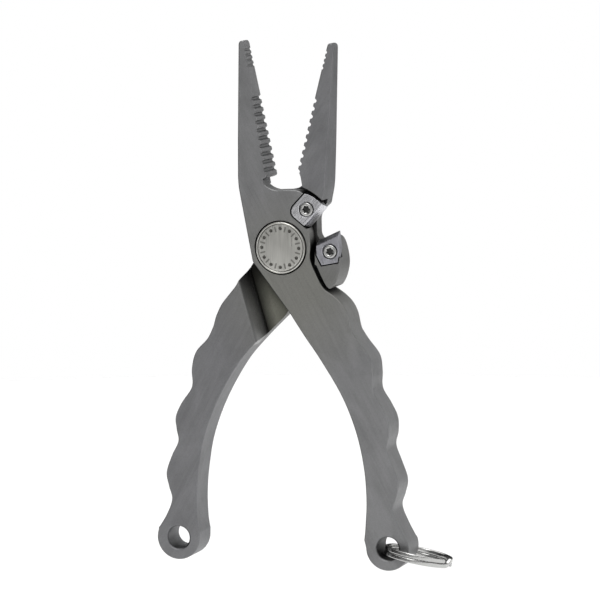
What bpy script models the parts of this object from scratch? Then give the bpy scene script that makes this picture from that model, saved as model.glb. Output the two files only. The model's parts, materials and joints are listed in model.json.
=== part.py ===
"""Spring-loaded titanium fishing pliers with replaceable cutters and a lanyard ring.

Frame: +X to the right, +Y from the front face to the back, +Z from the handles to the jaws.
The origin is the middle of the pivot bolt's flat front face, and the pivot axis runs along Y.
The pliers stand fully open. Lengths are metres; outlines are written in millimetres (X, Z).
"""

import math

import bmesh
import bpy
from mathutils import Matrix, Vector

MM = 0.001
GAP = 0.3                      # clearance between neighbouring pieces

# Thickness stack, front (small Y) to back, in millimetres
BODY_FRONT = 0.4
BODY_BACK = 11.9
LAP_FRONT = 6.0                # back face of the front half's lap plate
LAP_BACK = 6.3                 # front face of the rear half's lap plate
MID_Y = 6.15
EDGE_CHAMFER = 0.55

# Jaws
FRONT_JAW_ANGLE = 11.0         # each jaw's inner face leans this far from upright
REAR_JAW_ANGLE = 12.9
JAW_LENGTH = 69.4
JAW_HALF_WIDTH = 10.55
JAW_TAPER_START = 26.0
JAW_TIP_INSET = 3.15           # how far each flat face comes in at the tip
FACE_SETBACK = 0.15            # inner faces stop short of the closing plane
COARSE_TEETH = (25.2, 50.4, 2.65, 0.8)     # from, to, pitch, depth
FINE_TEETH = (60.4, 68.2, 1.75, 0.45)

# Handles
EYE_CENTRE = (36.7, -98.9)
EYE_RADIUS = 7.45
EYE_HOLE_RADIUS = 3.8
LAP_CLEARANCE_RADIUS = 21.7

# Pivot
HEAD_RADIUS = 8.75
HEAD_POCKET_RADIUS = 9.15
HEAD_THICKNESS = 2.3
SHANK_RADIUS = 4.0
THREAD_RADIUS = 3.0
WASHER_RADIUS = 6.9
NUT_RADIUS = 7.2
BUSHING_RADIUS = 5.5
KEY_PIN_RADIUS = 0.7
KEY_PIN_AT = (-6.2, -2.6)

# Spring in the rear half's ring groove
SPRING_RADIUS = 9.4
SPRING_WIRE_RADIUS = 0.5
SPRING_TURNS = 1.75
GROOVE_INNER = 8.3
GROOVE_OUTER = 10.5
GROOVE_BACK = 9.6

# Cutters
CUTTER_FRONT = 0.5
CUTTER_BACK = 3.7
POCKET_FLOOR = 4.0
CUT_ANGLE_IN = 35.8            # closed cutting line, near end and far end
CUT_ANGLE_OUT = 41.2
CUT_RADIUS_IN = 12.4
CUT_RADIUS_OUT = 20.6
CUT_BEVEL = 1.5
OPEN_ANGLE = FRONT_JAW_ANGLE + REAR_JAW_ANGLE
UPPER_SCREW_AT = (8.9, 12.9)
LOWER_SCREW_AT = (17.0, -0.8)
SCREW_HEAD_RADIUS = 2.3
SCREW_SHANK_RADIUS = 1.1

# Split ring
RING_MEAN_RADIUS = 10.7
RING_WIRE_WIDTH = 1.4
RING_WIRE_HEIGHT = 1.5
RING_PITCH = 1.6
RING_TILT = -10.0              # droop away from the handle
RING_ROLL = -6.0               # lean towards the front
RING_OFFSET = (9.0, -2.85)     # from the eye's axis to the ring's middle


# ---------------------------------------------------------------- scene and materials

def clear_scene():
    for obj in list(bpy.data.objects):
        bpy.data.objects.remove(obj, do_unlink=True)


def new_collection(name):
    collection = bpy.data.collections.new(name)
    bpy.context.scene.collection.children.link(collection)
    return collection


def new_material(name, colour, roughness, metallic):
    material = bpy.data.materials.new(name)
    material.use_nodes = True
    shader = material.node_tree.nodes["Principled BSDF"]
    shader.inputs["Base Color"].default_value = (*colour, 1.0)
    shader.inputs["Roughness"].default_value = roughness
    shader.inputs["Metallic"].default_value = metallic
    material.diffuse_color = (*colour, 1.0)
    return material


# ---------------------------------------------------------------- plane geometry

def turned(point, degrees):
    """Turn a point about the pivot, anticlockwise as seen from the front."""
    angle = math.radians(degrees)
    x, z = point
    return (x * math.cos(angle) - z * math.sin(angle),
            x * math.sin(angle) + z * math.cos(angle))


def polar(radius, degrees):
    return turned((radius, 0.0), degrees)


def arc(centre, radius, start, end, steps):
    """Points along an arc, both ends included, angles in degrees."""
    points = []
    for i in range(steps + 1):
        x, z = polar(radius, start + (end - start) * i / steps)
        points.append((centre[0] + x, centre[1] + z))
    return points


def smooth_curve(knots, steps):
    """Catmull-Rom curve through the knots."""
    points = []
    padded = [knots[0], *knots, knots[-1]]
    for i in range(1, len(padded) - 2):
        a, b, c, d = (Vector(padded[i + k]) for k in (-1, 0, 1, 2))
        for j in range(steps):
            t = j / steps
            p = 0.5 * (2 * b + (c - a) * t + (2 * a - 5 * b + 4 * c - d) * t ** 2
                       + (3 * b - a - 3 * c + d) * t ** 3)
            points.append((p.x, p.y))
    points.append(knots[-1])
    return points


def grown(outline, distance):
    """Offset a convex anticlockwise outline outwards."""
    count = len(outline)
    result = []
    for i in range(count):
        before, here, after = (Vector(outline[(i + k) % count]) for k in (-1, 0, 1))
        first = (here - before).normalized()
        second = (after - here).normalized()
        normal_a = Vector((first.y, -first.x))
        normal_b = Vector((second.y, -second.x))
        mitre = (normal_a + normal_b).normalized()
        point = here + mitre * distance / mitre.dot(normal_a)
        result.append((point.x, point.y))
    return result


def mirrored(points):
    return [(-x, z) for x, z in reversed(points)]


# ---------------------------------------------------------------- solids

def mesh_from_curve(curve_obj, name, collection):
    """Turn a curve into a welded mesh object that keeps the curve's place."""
    bpy.context.view_layer.update()
    depsgraph = bpy.context.evaluated_depsgraph_get()
    mesh = bpy.data.meshes.new_from_object(curve_obj.evaluated_get(depsgraph))
    mesh.transform(curve_obj.matrix_world)
    work = bmesh.new()
    work.from_mesh(mesh)
    bmesh.ops.remove_doubles(work, verts=work.verts, dist=1e-6)
    bmesh.ops.dissolve_limit(work, angle_limit=math.radians(0.05),
                             verts=work.verts, edges=work.edges)
    bmesh.ops.recalc_face_normals(work, faces=work.faces)
    work.to_mesh(mesh)
    work.free()
    mesh.materials.clear()
    obj = bpy.data.objects.new(name, mesh)
    collection.objects.link(obj)
    bpy.data.objects.remove(curve_obj, do_unlink=True)
    return obj


def flat_solid(name, outline, front, back, collection):
    """A flat outline in X and Z (millimetres) made solid from Y front to Y back."""
    curve = bpy.data.curves.new(name + "_outline", "CURVE")
    curve.dimensions = "2D"
    curve.fill_mode = "BOTH"
    curve.extrude = (back - front) / 2 * MM
    spline = curve.splines.new("POLY")
    spline.points.add(len(outline) - 1)
    for point, (x, z) in zip(spline.points, outline):
        point.co = (x * MM, z * MM, 0.0, 1.0)
    spline.use_cyclic_u = True
    holder = bpy.data.objects.new(name + "_curve", curve)
    holder.rotation_euler = (math.pi / 2, 0.0, 0.0)
    holder.location = (0.0, (front + back) / 2 * MM, 0.0)
    collection.objects.link(holder)
    return mesh_from_curve(holder, name, collection)


def prism_along(name, section, start, end, overrun, collection):
    """A section in (sideways, Y) swept along the line from start to end.

    Sideways is measured to the left of the direction of travel.
    """
    curve = bpy.data.curves.new(name + "_section", "CURVE")
    curve.dimensions = "2D"
    curve.fill_mode = "BOTH"
    direction = Vector((end[0] - start[0], 0.0, end[1] - start[1]))
    length = direction.length + 2 * overrun
    direction.normalize()
    curve.extrude = length / 2 * MM
    spline = curve.splines.new("POLY")
    spline.points.add(len(section) - 1)
    for point, (side, y) in zip(spline.points, section):
        point.co = (side * MM, y * MM, 0.0, 1.0)
    spline.use_cyclic_u = True
    holder = bpy.data.objects.new(name + "_curve", curve)
    sideways = Vector((-direction.z, 0.0, direction.x))
    depth = Vector((0.0, 1.0, 0.0))
    middle = Vector(((start[0] + end[0]) / 2, 0.0, (start[1] + end[1]) / 2)) * MM
    turn = Matrix((sideways, depth, sideways.cross(depth))).transposed()
    holder.matrix_world = Matrix.Translation(middle) @ turn.to_4x4()
    collection.objects.link(holder)
    return mesh_from_curve(holder, name, collection)


def turned_solid(name, profile, centre, collection, segments=40):
    """A solid of revolution about an axis along Y.

    The profile is (radius, Y) in millimetres, from the front end to the back end.
    A profile that doesn't start on the axis closes on itself, which makes a ring.
    """
    mesh = bpy.data.meshes.new(name)
    rows = [Vector((r * MM, 0.0, -y * MM)) for r, y in profile]
    edges = [(i, i + 1) for i in range(len(rows) - 1)]
    if profile[0][0] > 0.0:
        edges.append((len(rows) - 1, 0))
    mesh.from_pydata(rows, edges, [])
    obj = bpy.data.objects.new(name, mesh)
    obj.rotation_euler = (math.pi / 2, 0.0, 0.0)
    obj.location = (centre[0] * MM, 0.0, centre[1] * MM)
    screw = obj.modifiers.new("turn", "SCREW")
    screw.steps = segments
    screw.render_steps = segments
    screw.use_merge_vertices = True
    screw.merge_threshold = 0.00001
    collection.objects.link(obj)
    return obj


def cylinder(name, radius, front, back, centre, collection, segments=32):
    profile = [(0.0, front), (radius, front), (radius, back), (0.0, back)]
    return turned_solid(name, profile, centre, collection, segments)


def cut(target, cutter):
    cutter.hide_render = True
    cutter.display_type = "WIRE"
    modifier = target.modifiers.new("cut_" + cutter.name, "BOOLEAN")
    modifier.operation = "DIFFERENCE"
    modifier.solver = "EXACT"
    modifier.object = cutter


def chamfer_edges(obj, width, angle=35.0, segments=1):
    bevel = obj.modifiers.new("chamfer", "BEVEL")
    bevel.width = width * MM
    bevel.segments = segments
    bevel.limit_method = "ANGLE"
    bevel.angle_limit = math.radians(angle)
    bevel.miter_outer = "MITER_SHARP"


def weld(obj):
    """Merge the near-double points that a chamfer or a cut can leave."""
    modifier = obj.modifiers.new("weld", "WELD")
    modifier.merge_threshold = 0.00002


def finish_piece(obj, material, smooth_angle=32.0):
    obj.data.materials.append(material)
    obj.data.shade_smooth()
    obj.data.set_sharp_from_angle(angle=math.radians(smooth_angle))


# ---------------------------------------------------------------- the two halves
# Both halves share one outline, drawn with the jaw on the left and the handle on the right.
# The rear half is that outline mirrored, with its own jaw angle and the cutter lobe.

def jaw_outer_side():
    return [(-FACE_SETBACK, JAW_LENGTH - 0.7), (-0.55, JAW_LENGTH), (-1.5, JAW_LENGTH + 0.1),
            (-2.25, JAW_LENGTH - 0.5), (-8.1, 37.0), (-10.2, 24.8), (-10.5, 22.3),
            (-JAW_HALF_WIDTH, 19.8)]


# Rounded throat up past the tooth block's lower corner, in each jaw's own frame. The front
# half's block is square underneath; the rear half's is cut back to let the front plate by.
FRONT_THROAT = [(0.74, 19.5), (-0.6, 20.45), (-1.35, 21.4), (-1.8, 22.4), (-1.8, 23.4),
                (-FACE_SETBACK, 23.6)]
REAR_THROAT = [(0.74, 19.5), (-0.6, 20.45), (-1.25, 21.4), (-1.6, 22.6), (-1.4, 23.5),
               (-FACE_SETBACK, 24.6)]
FRONT_THROAT_LAP = [(-3.0, 21.3), (-3.0, 23.4), (3.0, 23.4), (4.0, 21.4)]
REAR_THROAT_LAP = [(-2.9, 21.6), (-1.6, 24.7), (-0.6, 26.2), (3.0, 28.0), (4.0, 21.4)]


# Handle edges from the pivot end to the eye (palm side) and back up (finger side),
# each a smooth curve through the crests and valleys of that half.
FRONT_PALM = [(2.8, -21.3), (8.0, -29.0), (13.6, -36.8), (20.9, -48.5), (25.8, -60.3),
              (28.5, -72.1), (29.4, -83.0), (29.0, -92.5), (28.6, -96.5)]
FRONT_FINGERS = [(43.1, -95.6), (40.6, -91.0), (38.6, -85.8), (39.8, -81.4), (40.5, -76.8),
                 (38.35, -70.7), (36.5, -65.6), (37.3, -61.0), (37.05, -56.2), (34.7, -51.4),
                 (31.9, -46.7), (31.8, -41.0), (30.9, -35.7), (27.0, -30.6), (24.65, -27.1)]
REAR_PALM = [(0.5, -23.4), (8.1, -31.0), (15.25, -39.4), (22.45, -51.9), (27.25, -64.3),
             (29.35, -75.5), (30.1, -84.2), (29.9, -92.5), (29.2, -97.0)]
REAR_FINGERS = [(43.8, -96.0), (40.9, -91.4), (38.9, -86.0), (40.0, -81.5), (40.75, -76.9),
                (38.85, -71.2), (36.5, -66.2), (37.1, -62.0), (37.3, -57.8), (35.1, -53.0),
                (31.5, -47.6), (31.5, -41.5), (30.0, -35.8), (25.9, -31.2), (23.7, -26.8)]


def eye_rim():
    return arc(EYE_CENTRE, EYE_RADIUS, 180.0, 380.0, 12)


def half_outline(jaw_angle, plate_side, palm, fingers, shoulder_side, throat):
    """Whole outline, anticlockwise from the jaw tip."""
    points = [turned(p, jaw_angle) for p in jaw_outer_side()]
    points += plate_side
    points += smooth_curve(palm, 3)
    points += eye_rim()
    points += smooth_curve(fingers, 3)
    points += shoulder_side
    points += [turned(p, jaw_angle) for p in throat]
    return points


def cutting_line(closing):
    """Both ends of the cutting line, turned back from the closed position."""
    return (polar(CUT_RADIUS_IN, CUT_ANGLE_IN - closing),
            polar(CUT_RADIUS_OUT, CUT_ANGLE_OUT - closing))


def shifted_line(line, distance):
    """The line moved to its left."""
    start, end = Vector(line[0]), Vector(line[1])
    along = (end - start).normalized()
    side = Vector((-along.y, along.x)) * distance
    return tuple(start + side), tuple(end + side)


def front_outline():
    plate_side = [turned((-JAW_HALF_WIDTH, -1.6), FRONT_JAW_ANGLE), (-9.8, -4.9)]
    near, far = shifted_line(cutting_line(0.0), 1.7)
    shoulder_side = [(24.1, -25.0), (23.5, -22.2), (22.5, -19.8), (21.1, -17.8),
                     (19.5, -16.3), (18.1, -15.2), (16.7, -14.3), (15.3, -13.4),
                     (14.0, -11.8), (12.9, -9.8), (10.6, -5.0), (10.1, -2.5), (10.3, 1.3),
                     (9.8, 5.6), near, (far[0] - 1.2, far[1] - 1.2), (12.0, 15.5),
                     (8.5, 17.8), (7.0, 18.8), (4.8, 19.2), (1.0, 19.1), (-1.5, 18.95)]
    return half_outline(FRONT_JAW_ANGLE, plate_side, FRONT_PALM, FRONT_FINGERS, shoulder_side,
                        FRONT_THROAT)


def lobe_outer_side():
    """Lobe that carries the lower cutter, in place on the right, from its top round to its foot."""
    return [(16.6, 3.9), (18.0, 3.5), (19.2, 1.7), (20.1, -1.5), (20.5, -4.5), (20.3, -7.0),
            (19.7, -9.4), (18.9, -11.3), (18.0, -12.6), (16.9, -13.1), (15.9, -12.5),
            (15.1, -11.3), (13.6, -8.4), (12.2, -5.3)]


def rear_outline():
    """Drawn mirrored, like the front half's, then turned over by the caller."""
    notch = [(-14.2, 14.2), (-11.4, 11.9), (-10.7, 9.5), (-10.8, 4.2), (-11.95, 2.2)]
    lobe = [(-x, z) for x, z in lobe_outer_side()]
    plate_side = notch + lobe + [(-10.4, -5.2), (-4.6, -15.5)]
    shoulder_side = [(22.9, -23.8), (20.9, -19.6), (17.8, -15.7), (15.6, -12.9),
                     (14.3, -10.3), (12.3, -7.2), (10.8, -4.6), (10.0, -1.5), (10.0, 5.6),
                     (9.6, 12.2), (8.5, 17.4), (7.0, 18.0), (4.8, 18.3), (1.0, 18.4),
                     (-1.2, 18.7)]
    return mirrored(half_outline(REAR_JAW_ANGLE, plate_side, REAR_PALM, REAR_FINGERS,
                                 shoulder_side, REAR_THROAT))


def ramp_line(setback):
    """Foot of the sloping wall where the handle goes from half to full thickness."""
    return (5.1 + setback, -33.0), (14.1 + setback, -3.0)


def lap_outline(jaw_angle, setback, throat, outer_side):
    """What the other half's plate needs clear, drawn with the jaw on the left."""
    foot, top = ramp_line(setback)
    throat = [turned(p, jaw_angle) for p in reversed(throat)]
    points = [foot, top, (21.5, -3.0)]
    points += arc((0.0, 0.0), LAP_CLEARANCE_RADIUS, 0.0, 66.0, 11)
    points += throat
    points += arc((0.0, 0.0), LAP_CLEARANCE_RADIUS, 114.0, 160.0, 8)
    points += outer_side
    return points


def ramp_section(floor, face):
    """Hollow slope from just off the lap plane up to the full face; sideways is to the lap."""
    rise = face - floor
    return [(1.0, floor + 0.08 * rise), (-0.5, floor + 0.08 * rise),
            (-1.6, floor + 0.35 * rise), (-2.5, floor + 0.68 * rise),
            (-3.3, face), (-3.7, face + 0.2 * rise), (1.0, face + 0.2 * rise)]


def teeth_comb():
    """Everything beyond the toothed face, as one outline in the jaw's own frame."""
    clear = 0.25
    points = [(3.0, 24.0), (clear, 24.0)]
    for start, end, pitch, depth in (COARSE_TEETH, FINE_TEETH):
        count = round((end - start) / pitch)
        flank = 0.24 * pitch * (clear + FACE_SETBACK) / depth
        for i in range(count):
            low = start + i * pitch
            points += [(clear, low - flank), (-FACE_SETBACK - depth, low + 0.24 * pitch),
                       (-FACE_SETBACK - depth, low + 0.46 * pitch),
                       (clear, low + 0.70 * pitch + flank)]
    points += [(clear, JAW_LENGTH + 1.0), (3.0, JAW_LENGTH + 1.0)]
    return points


def taper_section(face, inset):
    """Wedge beyond a jaw face, as (distance up the jaw, Y), crossing the face at its start."""
    reach = JAW_LENGTH + 4.0
    slope = inset / (JAW_LENGTH - JAW_TAPER_START)
    below = JAW_TAPER_START - 8.0
    side = -math.copysign(6.0, inset)
    return [(below, face - slope * 8.0), (reach, face + slope * (reach - JAW_TAPER_START)),
            (reach, face + side), (below, face + side)]


def taper_cutter(name, jaw_angle, face, inset, cutters):
    """Wedge that thins the jaw towards its tip; it runs across the jaw's width."""
    section = [(-d, y) for d, y in taper_section(face, inset)]
    left = turned((25.0, 0.0), jaw_angle)
    right = turned((-25.0, 0.0), jaw_angle)
    return prism_along(name, section, left, right, 0.0, cutters)


def add_half(name, outline, jaw_angle, mirror, lap, lap_depth, setback, parts, cutters):
    """One half: full-thickness outline, thinned jaw, lap clearance, teeth and eye."""
    obj = flat_solid(name, outline, BODY_FRONT, BODY_BACK, parts)
    lean = jaw_angle if mirror > 0 else -jaw_angle
    for face, inset, tag in ((BODY_FRONT, JAW_TIP_INSET, "front"),
                             (BODY_BACK, -JAW_TIP_INSET, "back")):
        cut(obj, taper_cutter(f"{name}_taper_{tag}", lean, face, inset, cutters))
    chamfer_edges(obj, EDGE_CHAMFER)
    weld(obj)
    cut(obj, flat_solid(name + "_lap", lap, lap_depth[0], lap_depth[1], cutters))
    floor = lap_depth[0] if mirror > 0 else lap_depth[1]
    face = BODY_BACK if mirror > 0 else BODY_FRONT
    foot, top = ramp_line(setback)
    if mirror > 0:
        ramp = prism_along(name + "_ramp", ramp_section(floor, face), foot, top, 4.0, cutters)
    else:
        foot, top = (-foot[0], foot[1]), (-top[0], top[1])
        ramp = prism_along(name + "_ramp", ramp_section(floor, face), top, foot, 4.0, cutters)
    cut(obj, ramp)
    weld(obj)
    comb = teeth_comb()
    comb = comb if mirror > 0 else mirrored(comb)
    comb = [turned(p, lean) for p in comb]
    cut(obj, flat_solid(name + "_teeth", comb, -2.0, 14.0, cutters))
    eye = (mirror * EYE_CENTRE[0], EYE_CENTRE[1])
    cut(obj, cylinder(name + "_eye", EYE_HOLE_RADIUS, -2.0, 14.0, eye, cutters, 28))
    return obj


def add_front_half(material, parts, cutters):
    setback = 1.2
    lap = lap_outline(FRONT_JAW_ANGLE, setback, FRONT_THROAT_LAP,
                      [(-22.0, -6.0), (-22.0, -20.0), (-8.0, -33.0)])
    obj = add_half("front_half", front_outline(), FRONT_JAW_ANGLE, 1, lap,
                   (LAP_FRONT, 14.0), setback, parts, cutters)
    stepped_bore = [(0.0, -2.0), (HEAD_POCKET_RADIUS, -2.0),
                    (HEAD_POCKET_RADIUS, HEAD_THICKNESS + GAP),
                    (SHANK_RADIUS + GAP, HEAD_THICKNESS + GAP), (SHANK_RADIUS + GAP, 5.45),
                    (WASHER_RADIUS + GAP, 5.45), (WASHER_RADIUS + GAP, 8.0), (0.0, 8.0)]
    cut(obj, turned_solid("front_bore", stepped_bore, (0, 0), cutters, 48))
    cut(obj, cylinder("front_key_hole", KEY_PIN_RADIUS + GAP, 2.0, 4.9, KEY_PIN_AT, cutters, 16))
    cut(obj, cylinder("front_spring_hole", SPRING_WIRE_RADIUS + GAP, 3.4, 8.0,
                      polar(SPRING_RADIUS, SPRING_LEG_ANGLE), cutters, 16))
    cut(obj, flat_solid("upper_cutter_pocket", grown(upper_cutter_outline(), GAP + 0.1),
                        -2.0, POCKET_FLOOR, cutters))
    cut(obj, cylinder("upper_screw_hole", SCREW_SHANK_RADIUS + GAP, 3.0, 8.0,
                      UPPER_SCREW_AT, cutters, 20))
    finish_piece(obj, material)
    return obj


def add_rear_half(material, parts, cutters):
    lobe_side = [(-20.5, 7.2), (-11.95, 5.2), (-11.95, -4.2), (-11.85, -5.9), (-12.7, -8.4),
                 (-14.2, -11.6), (-14.6, -15.0), (-8.0, -33.0)]
    lap = mirrored(lap_outline(REAR_JAW_ANGLE, 0.0, REAR_THROAT_LAP, lobe_side))
    obj = add_half("rear_half", rear_outline(), REAR_JAW_ANGLE, -1, lap,
                   (-2.0, LAP_BACK), 0.0, parts, cutters)
    stepped_bore = [(0.0, 5.0), (WASHER_RADIUS + GAP, 5.0), (WASHER_RADIUS + GAP, 6.85),
                    (BUSHING_RADIUS + GAP, 6.85), (BUSHING_RADIUS + GAP, 9.6),
                    (NUT_RADIUS + GAP, 9.6), (NUT_RADIUS + GAP, 14.0), (0.0, 14.0)]
    cut(obj, turned_solid("rear_bore", stepped_bore, (0, 0), cutters, 48))
    groove = [(GROOVE_INNER, 4.0), (GROOVE_OUTER, 4.0), (GROOVE_OUTER, GROOVE_BACK),
              (GROOVE_INNER, GROOVE_BACK)]
    cut(obj, turned_solid("spring_groove", groove, (0, 0), cutters, 40))
    cut(obj, flat_solid("spring_slot", spring_slot_outline(), 4.5, GROOVE_BACK - 0.1, cutters))
    cut(obj, flat_solid("lower_cutter_pocket", grown(lower_cutter_outline(), GAP + 0.1),
                        -2.0, POCKET_FLOOR, cutters))
    cut(obj, cylinder("lower_screw_hole", SCREW_SHANK_RADIUS + GAP, 3.0, 7.0,
                      LOWER_SCREW_AT, cutters, 20))
    finish_piece(obj, material)
    return obj


# ---------------------------------------------------------------- pivot

def add_pivot_bolt(material, parts, cutters):
    profile = [(0.0, 0.0), (HEAD_RADIUS - 0.6, 0.0), (HEAD_RADIUS, 0.45),
               (HEAD_RADIUS, HEAD_THICKNESS), (SHANK_RADIUS, HEAD_THICKNESS),
               (SHANK_RADIUS, 9.3), (THREAD_RADIUS, 9.7), (THREAD_RADIUS, 11.7),
               (THREAD_RADIUS - 0.4, 12.0), (0.0, 12.0)]
    obj = turned_solid("pivot_bolt", profile, (0, 0), parts, 48)
    cut(obj, cylinder("bolt_key_hole", KEY_PIN_RADIUS + GAP, 1.1, 3.0, KEY_PIN_AT, cutters, 16))
    finish_piece(obj, material)
    return obj


def add_key_pin(material, parts):
    profile = [(0.0, 1.4), (KEY_PIN_RADIUS - 0.15, 1.4), (KEY_PIN_RADIUS, 1.55),
               (KEY_PIN_RADIUS, 4.45), (KEY_PIN_RADIUS - 0.15, 4.6), (0.0, 4.6)]
    obj = turned_solid("head_key_pin", profile, KEY_PIN_AT, parts, 16)
    finish_piece(obj, material)


def add_ring_piece(name, inner, outer, front, back, material, parts, chamfer=0.12):
    """Plain ring with small chamfers: washers and the bushing."""
    profile = [(inner, front), (outer - chamfer, front), (outer, front + chamfer),
               (outer, back - chamfer), (outer - chamfer, back), (inner, back)]
    obj = turned_solid(name, profile, (0, 0), parts, 40)
    finish_piece(obj, material)
    return obj


def add_pivot_nut(material, parts, cutters):
    inner = THREAD_RADIUS + GAP
    profile = [(inner, 10.6), (NUT_RADIUS, 10.6), (NUT_RADIUS, 11.9),
               (NUT_RADIUS - 0.5, 12.3), (inner, 12.3)]
    obj = turned_solid("pivot_nut", profile, (0, 0), parts, 48)
    for i in range(2):
        place = polar(5.2, 180.0 * i)
        cut(obj, cylinder(f"nut_spanner_hole_{i}", 0.8, 11.3, 13.0, place, cutters, 16))
    finish_piece(obj, material)
    return obj


# ---------------------------------------------------------------- spring

SPRING_LEG_ANGLE = 200.0       # where the fixed leg enters the front half
SPRING_ARM_ANGLE = SPRING_LEG_ANGLE + 360.0 * SPRING_TURNS


def spring_slot_outline():
    """Slot the free arm lies in; it leaves the rear half room for its whole stroke."""
    first = SPRING_ARM_ANGLE - OPEN_ANGLE - 14.0
    last = SPRING_ARM_ANGLE + 8.0
    inside = arc((0, 0), GROOVE_OUTER - 0.6, last, first, 8)
    outside = arc((0, 0), 13.6, first, last, 8)
    return outside + inside


def add_torsion_spring(material, parts):
    """Two coils in the groove, one leg forward into the front half and one arm outwards."""
    front_y = 7.1
    back_y = 8.9
    path = []
    leg = polar(SPRING_RADIUS, SPRING_LEG_ANGLE)
    for y in (4.0, 5.2, 6.4):
        path.append((leg[0], y, leg[1]))
    steps = 56
    for i in range(steps + 1):
        t = i / steps
        x, z = polar(SPRING_RADIUS, SPRING_LEG_ANGLE + 360.0 * SPRING_TURNS * t)
        path.append((x, front_y + (back_y - front_y) * t, z))
    for radius in (10.4, 11.6, 12.9):
        x, z = polar(radius, SPRING_ARM_ANGLE + 2.0)
        path.append((x, back_y, z))
    curve = bpy.data.curves.new("torsion_spring_path", "CURVE")
    curve.dimensions = "3D"
    curve.bevel_depth = SPRING_WIRE_RADIUS * MM
    curve.bevel_resolution = 2
    curve.use_fill_caps = True
    spline = curve.splines.new("POLY")
    spline.points.add(len(path) - 1)
    for point, (x, y, z) in zip(spline.points, path):
        point.co = (x * MM, y * MM, z * MM, 1.0)
    holder = bpy.data.objects.new("torsion_spring_curve", curve)
    parts.objects.link(holder)
    obj = mesh_from_curve(holder, "torsion_spring", parts)
    finish_piece(obj, material, 60.0)
    return obj


# ---------------------------------------------------------------- cutters and their screws

def upper_cutter_outline():
    """Plan of the upper cutter; its cutting line is the last side, near end to far end."""
    near, far = shifted_line(cutting_line(0.0), 0.1)
    return [near, far, (13.3, 15.8), (10.9, 17.3), (8.4, 18.2), (5.3, 14.9), (4.2, 13.6),
            (3.8, 12.6), (3.8, 11.5), (4.4, 10.5), (9.0, 6.85)]


def lower_cutter_outline():
    near, far = shifted_line(cutting_line(OPEN_ANGLE), -0.1)
    return [far, near, (12.45, -2.2), (14.2, -5.4), (19.7, -4.3), (20.4, 0.5)]


def add_cutter(name, outline, line, sign, screw_at, material, parts, cutters):
    """Flat carbide cutter, bevelled from the front face down to its cutting line."""
    obj = flat_solid(name, outline, CUTTER_FRONT, CUTTER_BACK, parts)
    depth = CUTTER_BACK - 0.3
    bevel = [(0.0, depth), (sign * CUT_BEVEL, CUTTER_FRONT), (sign * CUT_BEVEL, -1.0),
             (-sign * 2.0, -1.0), (-sign * 2.0, depth)]
    cut(obj, prism_along(name + "_bevel", bevel, line[0], line[1], 3.0, cutters))
    cut(obj, cylinder(name + "_head_pocket", SCREW_HEAD_RADIUS + GAP, -1.0, 2.0,
                      screw_at, cutters, 28))
    cut(obj, cylinder(name + "_hole", SCREW_SHANK_RADIUS + GAP, 1.0, 5.0, screw_at, cutters, 20))
    finish_piece(obj, material)
    return obj


def star_outline(centre, outer, inner, lobes=6):
    """Six-lobe drive recess."""
    points = []
    for i in range(lobes * 4):
        wave = 0.5 + 0.5 * math.cos(2 * math.pi * i / 4)
        x, z = polar(inner + (outer - inner) * wave, 360.0 * i / (lobes * 4))
        points.append((centre[0] + x, centre[1] + z))
    return points


def add_screw(name, centre, tail, material, parts, cutters):
    front = CUTTER_FRONT
    profile = [(0.0, front), (SCREW_HEAD_RADIUS - 0.35, front),
               (SCREW_HEAD_RADIUS, front + 0.35), (SCREW_HEAD_RADIUS, front + 1.2),
               (SCREW_SHANK_RADIUS, front + 1.2), (SCREW_SHANK_RADIUS, tail - 0.3),
               (SCREW_SHANK_RADIUS - 0.3, tail), (0.0, tail)]
    obj = turned_solid(name, profile, centre, parts, 28)
    cut(obj, flat_solid(name + "_drive", star_outline(centre, 1.3, 0.85), -1.0, front + 0.8,
                        cutters))
    finish_piece(obj, material)
    return obj


# ---------------------------------------------------------------- lanyard ring

def ring_section():
    """Flat wire section with small corner chamfers."""
    w, h, c = RING_WIRE_WIDTH / 2 * MM, RING_WIRE_HEIGHT / 2 * MM, 0.2 * MM
    return [(w - c, -h), (w, c - h), (w, h - c), (w - c, h),
            (c - w, h), (-w, h - c), (-w, c - h), (c - w, -h)]


def add_split_ring(material, parts):
    """Two turns of flat wire; a joggle lifts the second turn over the first one's end."""
    joggle = 26.0
    last = 720.0 - joggle - 4.0
    profile = bpy.data.curves.new("ring_section", "CURVE")
    profile.dimensions = "2D"
    spline = profile.splines.new("POLY")
    section = ring_section()
    spline.points.add(len(section) - 1)
    for point, (x, y) in zip(spline.points, section):
        point.co = (x, y, 0.0, 1.0)
    spline.use_cyclic_u = True
    section_obj = bpy.data.objects.new("ring_section", profile)
    parts.objects.link(section_obj)
    path = bpy.data.curves.new("ring_path", "CURVE")
    path.dimensions = "3D"
    path.twist_mode = "Z_UP"
    path.bevel_mode = "OBJECT"
    path.bevel_object = section_obj
    path.use_fill_caps = True
    steps = 92
    line = path.splines.new("POLY")
    line.points.add(steps)
    for i, point in enumerate(line.points):
        degrees = last * i / steps
        rise = min(max((degrees - (360.0 - joggle)) / joggle, 0.0), 1.0)
        rise = rise * rise * (3 - 2 * rise)
        x, y = polar(RING_MEAN_RADIUS, degrees + 8.0)
        point.co = (x * MM, y * MM, (rise - 0.5) * RING_PITCH * MM, 1.0)
    holder = bpy.data.objects.new("ring_holder", path)
    tilt = math.radians(RING_TILT)
    x = EYE_CENTRE[0] + RING_OFFSET[0]
    z = EYE_CENTRE[1] + RING_OFFSET[1]
    holder.location = (x * MM, MID_Y * MM, z * MM)
    holder.rotation_euler = (math.radians(RING_ROLL), -tilt, 0.0)
    parts.objects.link(holder)
    obj = mesh_from_curve(holder, "split_ring", parts)
    bpy.data.objects.remove(section_obj, do_unlink=True)
    finish_piece(obj, material)
    return obj


# ---------------------------------------------------------------- moving groups

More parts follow.
